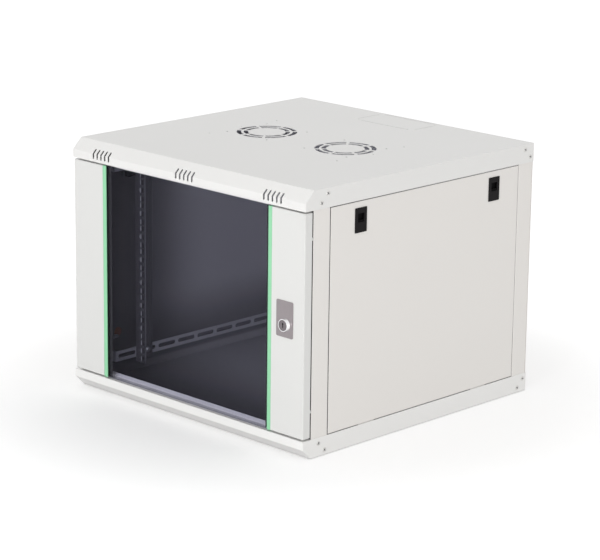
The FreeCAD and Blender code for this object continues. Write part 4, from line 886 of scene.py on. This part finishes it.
# %% Printed numbers
def number_mesh(text, size):
    """A number as a flat mesh, upright in the XZ plane and centred on the origin."""
    curve = bpy.data.curves.new("number", "FONT")
    curve.body = text
    curve.size = size
    curve.align_x = "CENTER"
    curve.align_y = "CENTER"
    holder = bpy.data.objects.new("number", curve)
    mesh = bpy.data.meshes.new_from_object(holder)
    bpy.data.objects.remove(holder)
    mesh.transform(Matrix.Rotation(math.pi / 2, 4, "X"))
    return mesh


RACK_UNIT = 0.04445
UNITS = 9
NUMBER_SIZE = 0.0075
NUMBER_INSET = 0.0125  # from the rail's outer side to the middle of a number
PRINT_LIFT = 0.0001
number_ink = ink("number_ink", tone(0.80, 0.80, 0.80), tone(0.60, 0.60, 0.60))


def rail_numbers(side, towards):
    """Numbers 1 to 9 from the bottom up, between the rail's hole column and its outer side."""
    low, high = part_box(f"rack_rail_{side}")
    column = (high.x if towards > 0 else low.x) - towards * NUMBER_INSET
    middle = (low.z + high.z) / 2
    meshes = []
    for unit in range(1, UNITS + 1):
        level = middle + (unit - (UNITS + 1) / 2) * RACK_UNIT
        mesh = number_mesh(str(unit), NUMBER_SIZE)
        mesh.transform(Matrix.Translation((column, low.y - PRINT_LIFT, level)))
        meshes.append(mesh)
    piece = join_meshes(f"unit_numbers_{side}", meshes)
    piece.data.materials.append(number_ink)
    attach(piece, f"rail_{side}")


for side, towards in (("left", -1), ("right", 1)):
    rail_numbers(side, towards)

# %% [markdown]
# ## Floor and background
# The cabinet stands on a white sweep that runs to the horizon. The background is plain white for
# the camera and in every mirror, while the light that falls on the cabinet comes from a softer
# sky. The floor adds a little white to its lit surface, and more of it further out, where the lamps
# fade: so it keeps the soft shadow and still meets the background without an edge.


# %% Rays that see the background
def background_rays(finish):
    """1 for rays from the camera, a mirror or through glass, and 0 for light that bounces."""
    path = finish.node("ShaderNodeLightPath")
    camera, mirror, through = (
        finish.out(path, f"Is {kind} Ray") for kind in ("Camera", "Glossy", "Transmission")
    )
    return 1 - (1 - camera) * (1 - mirror) * (1 - through)


# %% Floor
ADDED_NEAR, ADDED_FAR = 0.28, 0.45  # white that the floor adds under the cabinet and far out
NEAR, FAR = 0.46, 0.84  # metres from the origin, between which it changes
FLOOR_REACH = 12.0
FLOOR_DROP = 0.0004  # a hair below the cabinet, so that the two faces don't coincide


def white_floor():
    """Wide floor: lit white + added white, which grows smoothly from NEAR to FAR metres out."""
    level = cad_bounds[0][2] - FLOOR_DROP
    corners = [(-1, -1), (1, -1), (1, 1), (-1, 1)]
    mesh = bpy.data.meshes.new("studio_floor")
    mesh.from_pydata(
        [(FLOOR_REACH * x, FLOOR_REACH * y, level) for x, y in corners], [], [[0, 1, 2, 3]],
    )
    floor = stand("studio_floor", mesh)
    finish = Finish("studio_floor_white")
    finish.set(Base_Color=tone(0.86, 0.86, 0.86), Roughness=1.0)
    finish.shader.inputs["Specular IOR Level"].default_value = 0.0
    away = finish.node("ShaderNodeVectorMath", {"operation": "LENGTH"}, Vector=finish.place())
    added = finish.smooth_step(finish.out(away, "Value"), NEAR, FAR, ADDED_NEAR, ADDED_FAR)
    glow = finish.node("ShaderNodeEmission", Strength=added * background_rays(finish))
    both = finish.node("ShaderNodeAddShader")
    for place, shader in enumerate((finish.shader, glow)):
        finish.tree.links.new(shader.outputs[0], both.inputs[place])
    finish.tree.links.new(both.outputs[0], finish.surface())
    floor.data.materials.append(finish.material)


white_floor()


# %% Sky
SKY_HORIZON = 0.79
SKY_ZENITH = 0.75


class Sky(Finish):
    """The world's node tree, built with the same calls as a finish."""

    def __init__(self, name):
        self.world = bpy.data.worlds.new(name)
        self.world.use_nodes = True
        self.tree = self.world.node_tree
        self.tree.nodes.clear()


def studio_sky():
    """Strength = horizon + (zenith - horizon) * height, and plain white for background rays."""
    sky = Sky("studio_sky")
    way = sky.out(sky.node("ShaderNodeTexCoord"), "Generated")
    strength = SKY_HORIZON + (SKY_ZENITH - SKY_HORIZON) * sky.part(way, "Z")
    light = sky.node("ShaderNodeBackground", Color=tone(1, 1, 1), Strength=strength)
    seen = sky.node("ShaderNodeBackground", Color=tone(1, 1, 1), Strength=1.0)
    output = sky.node("ShaderNodeOutputWorld")
    sky.blend(background_rays(sky), light, seen, output.inputs["Surface"])
    bpy.context.scene.world = sky.world


studio_sky()

# %% [markdown]
# ## Lamps
# The sky gives most of the light. Two large and faint softboxes add a little to it, one at the
# front left and a slightly warm one on the right, for the side panel. A smaller and stronger one
# stands low in front, a little to the right. It lights the door and reaches through the glass to
# the left inner side, so that the inside isn't black.


# %% Lamps
def soft_box(name, position, size, watts, colour=(1, 1, 1)):
    """A square softbox that looks at the cabinet's middle."""
    lamp = bpy.data.lights.new(name, "AREA")
    lamp.shape = "SQUARE"
    lamp.size = size
    lamp.energy = watts
    lamp.color = colour
    holder = stand(name, lamp)
    holder.location = position
    middle = (Vector(cad_bounds[0]) + Vector(cad_bounds[1])) / 2
    holder.rotation_euler = (middle - Vector(position)).to_track_quat("-Z", "Y").to_euler()


soft_box("front_left_softbox", (-3.0, -3.6, 1.3), size=2.4, watts=8)
soft_box("front_low_softbox", (1.35, -3.6, 0.45), size=1.0, watts=40)
soft_box("right_softbox", (4.2, 0.6, 0.9), size=2.4, watts=8, colour=(1.0, 0.97, 0.92))

# %% [markdown]
# ## Camera
# A long lens from the front right and a little above, at three quarter view: the two upright
# faces look almost equally wide, and upright edges stay nearly parallel.


# %% Camera
SENSOR_WIDTH = 36.0
FURTHEST_SEEN = 60.0


def studio_camera(position, azimuth, elevation, roll, lens):
    """A camera at a position that looks back along an azimuth and elevation, in degrees."""
    turn, rise, lean = (math.radians(value) for value in (azimuth, elevation, roll))
    level = math.cos(rise)
    look = Vector((-math.sin(turn) * level, math.cos(turn) * level, -math.sin(rise)))
    right = look.cross(Vector((0, 0, 1))).normalized()
    up = right.cross(look)
    across = math.cos(lean) * right + math.sin(lean) * up
    above = math.cos(lean) * up - math.sin(lean) * right
    data = bpy.data.cameras.new("studio_camera")
    data.lens = lens
    data.sensor_width = SENSOR_WIDTH
    data.sensor_fit = "HORIZONTAL"
    data.clip_end = FURTHEST_SEEN
    camera = stand("studio_camera", data)
    rotation = Matrix((across, above, -look)).transposed().to_4x4()
    camera.matrix_world = Matrix.Translation(position) @ rotation
    bpy.context.scene.camera = camera


studio_camera(
    position=(3.124, -3.192, 1.408), azimuth=44.43, elevation=15.01, roll=0.69, lens=148.9,
)
bpy.context.scene.view_settings.view_transform = "Standard"
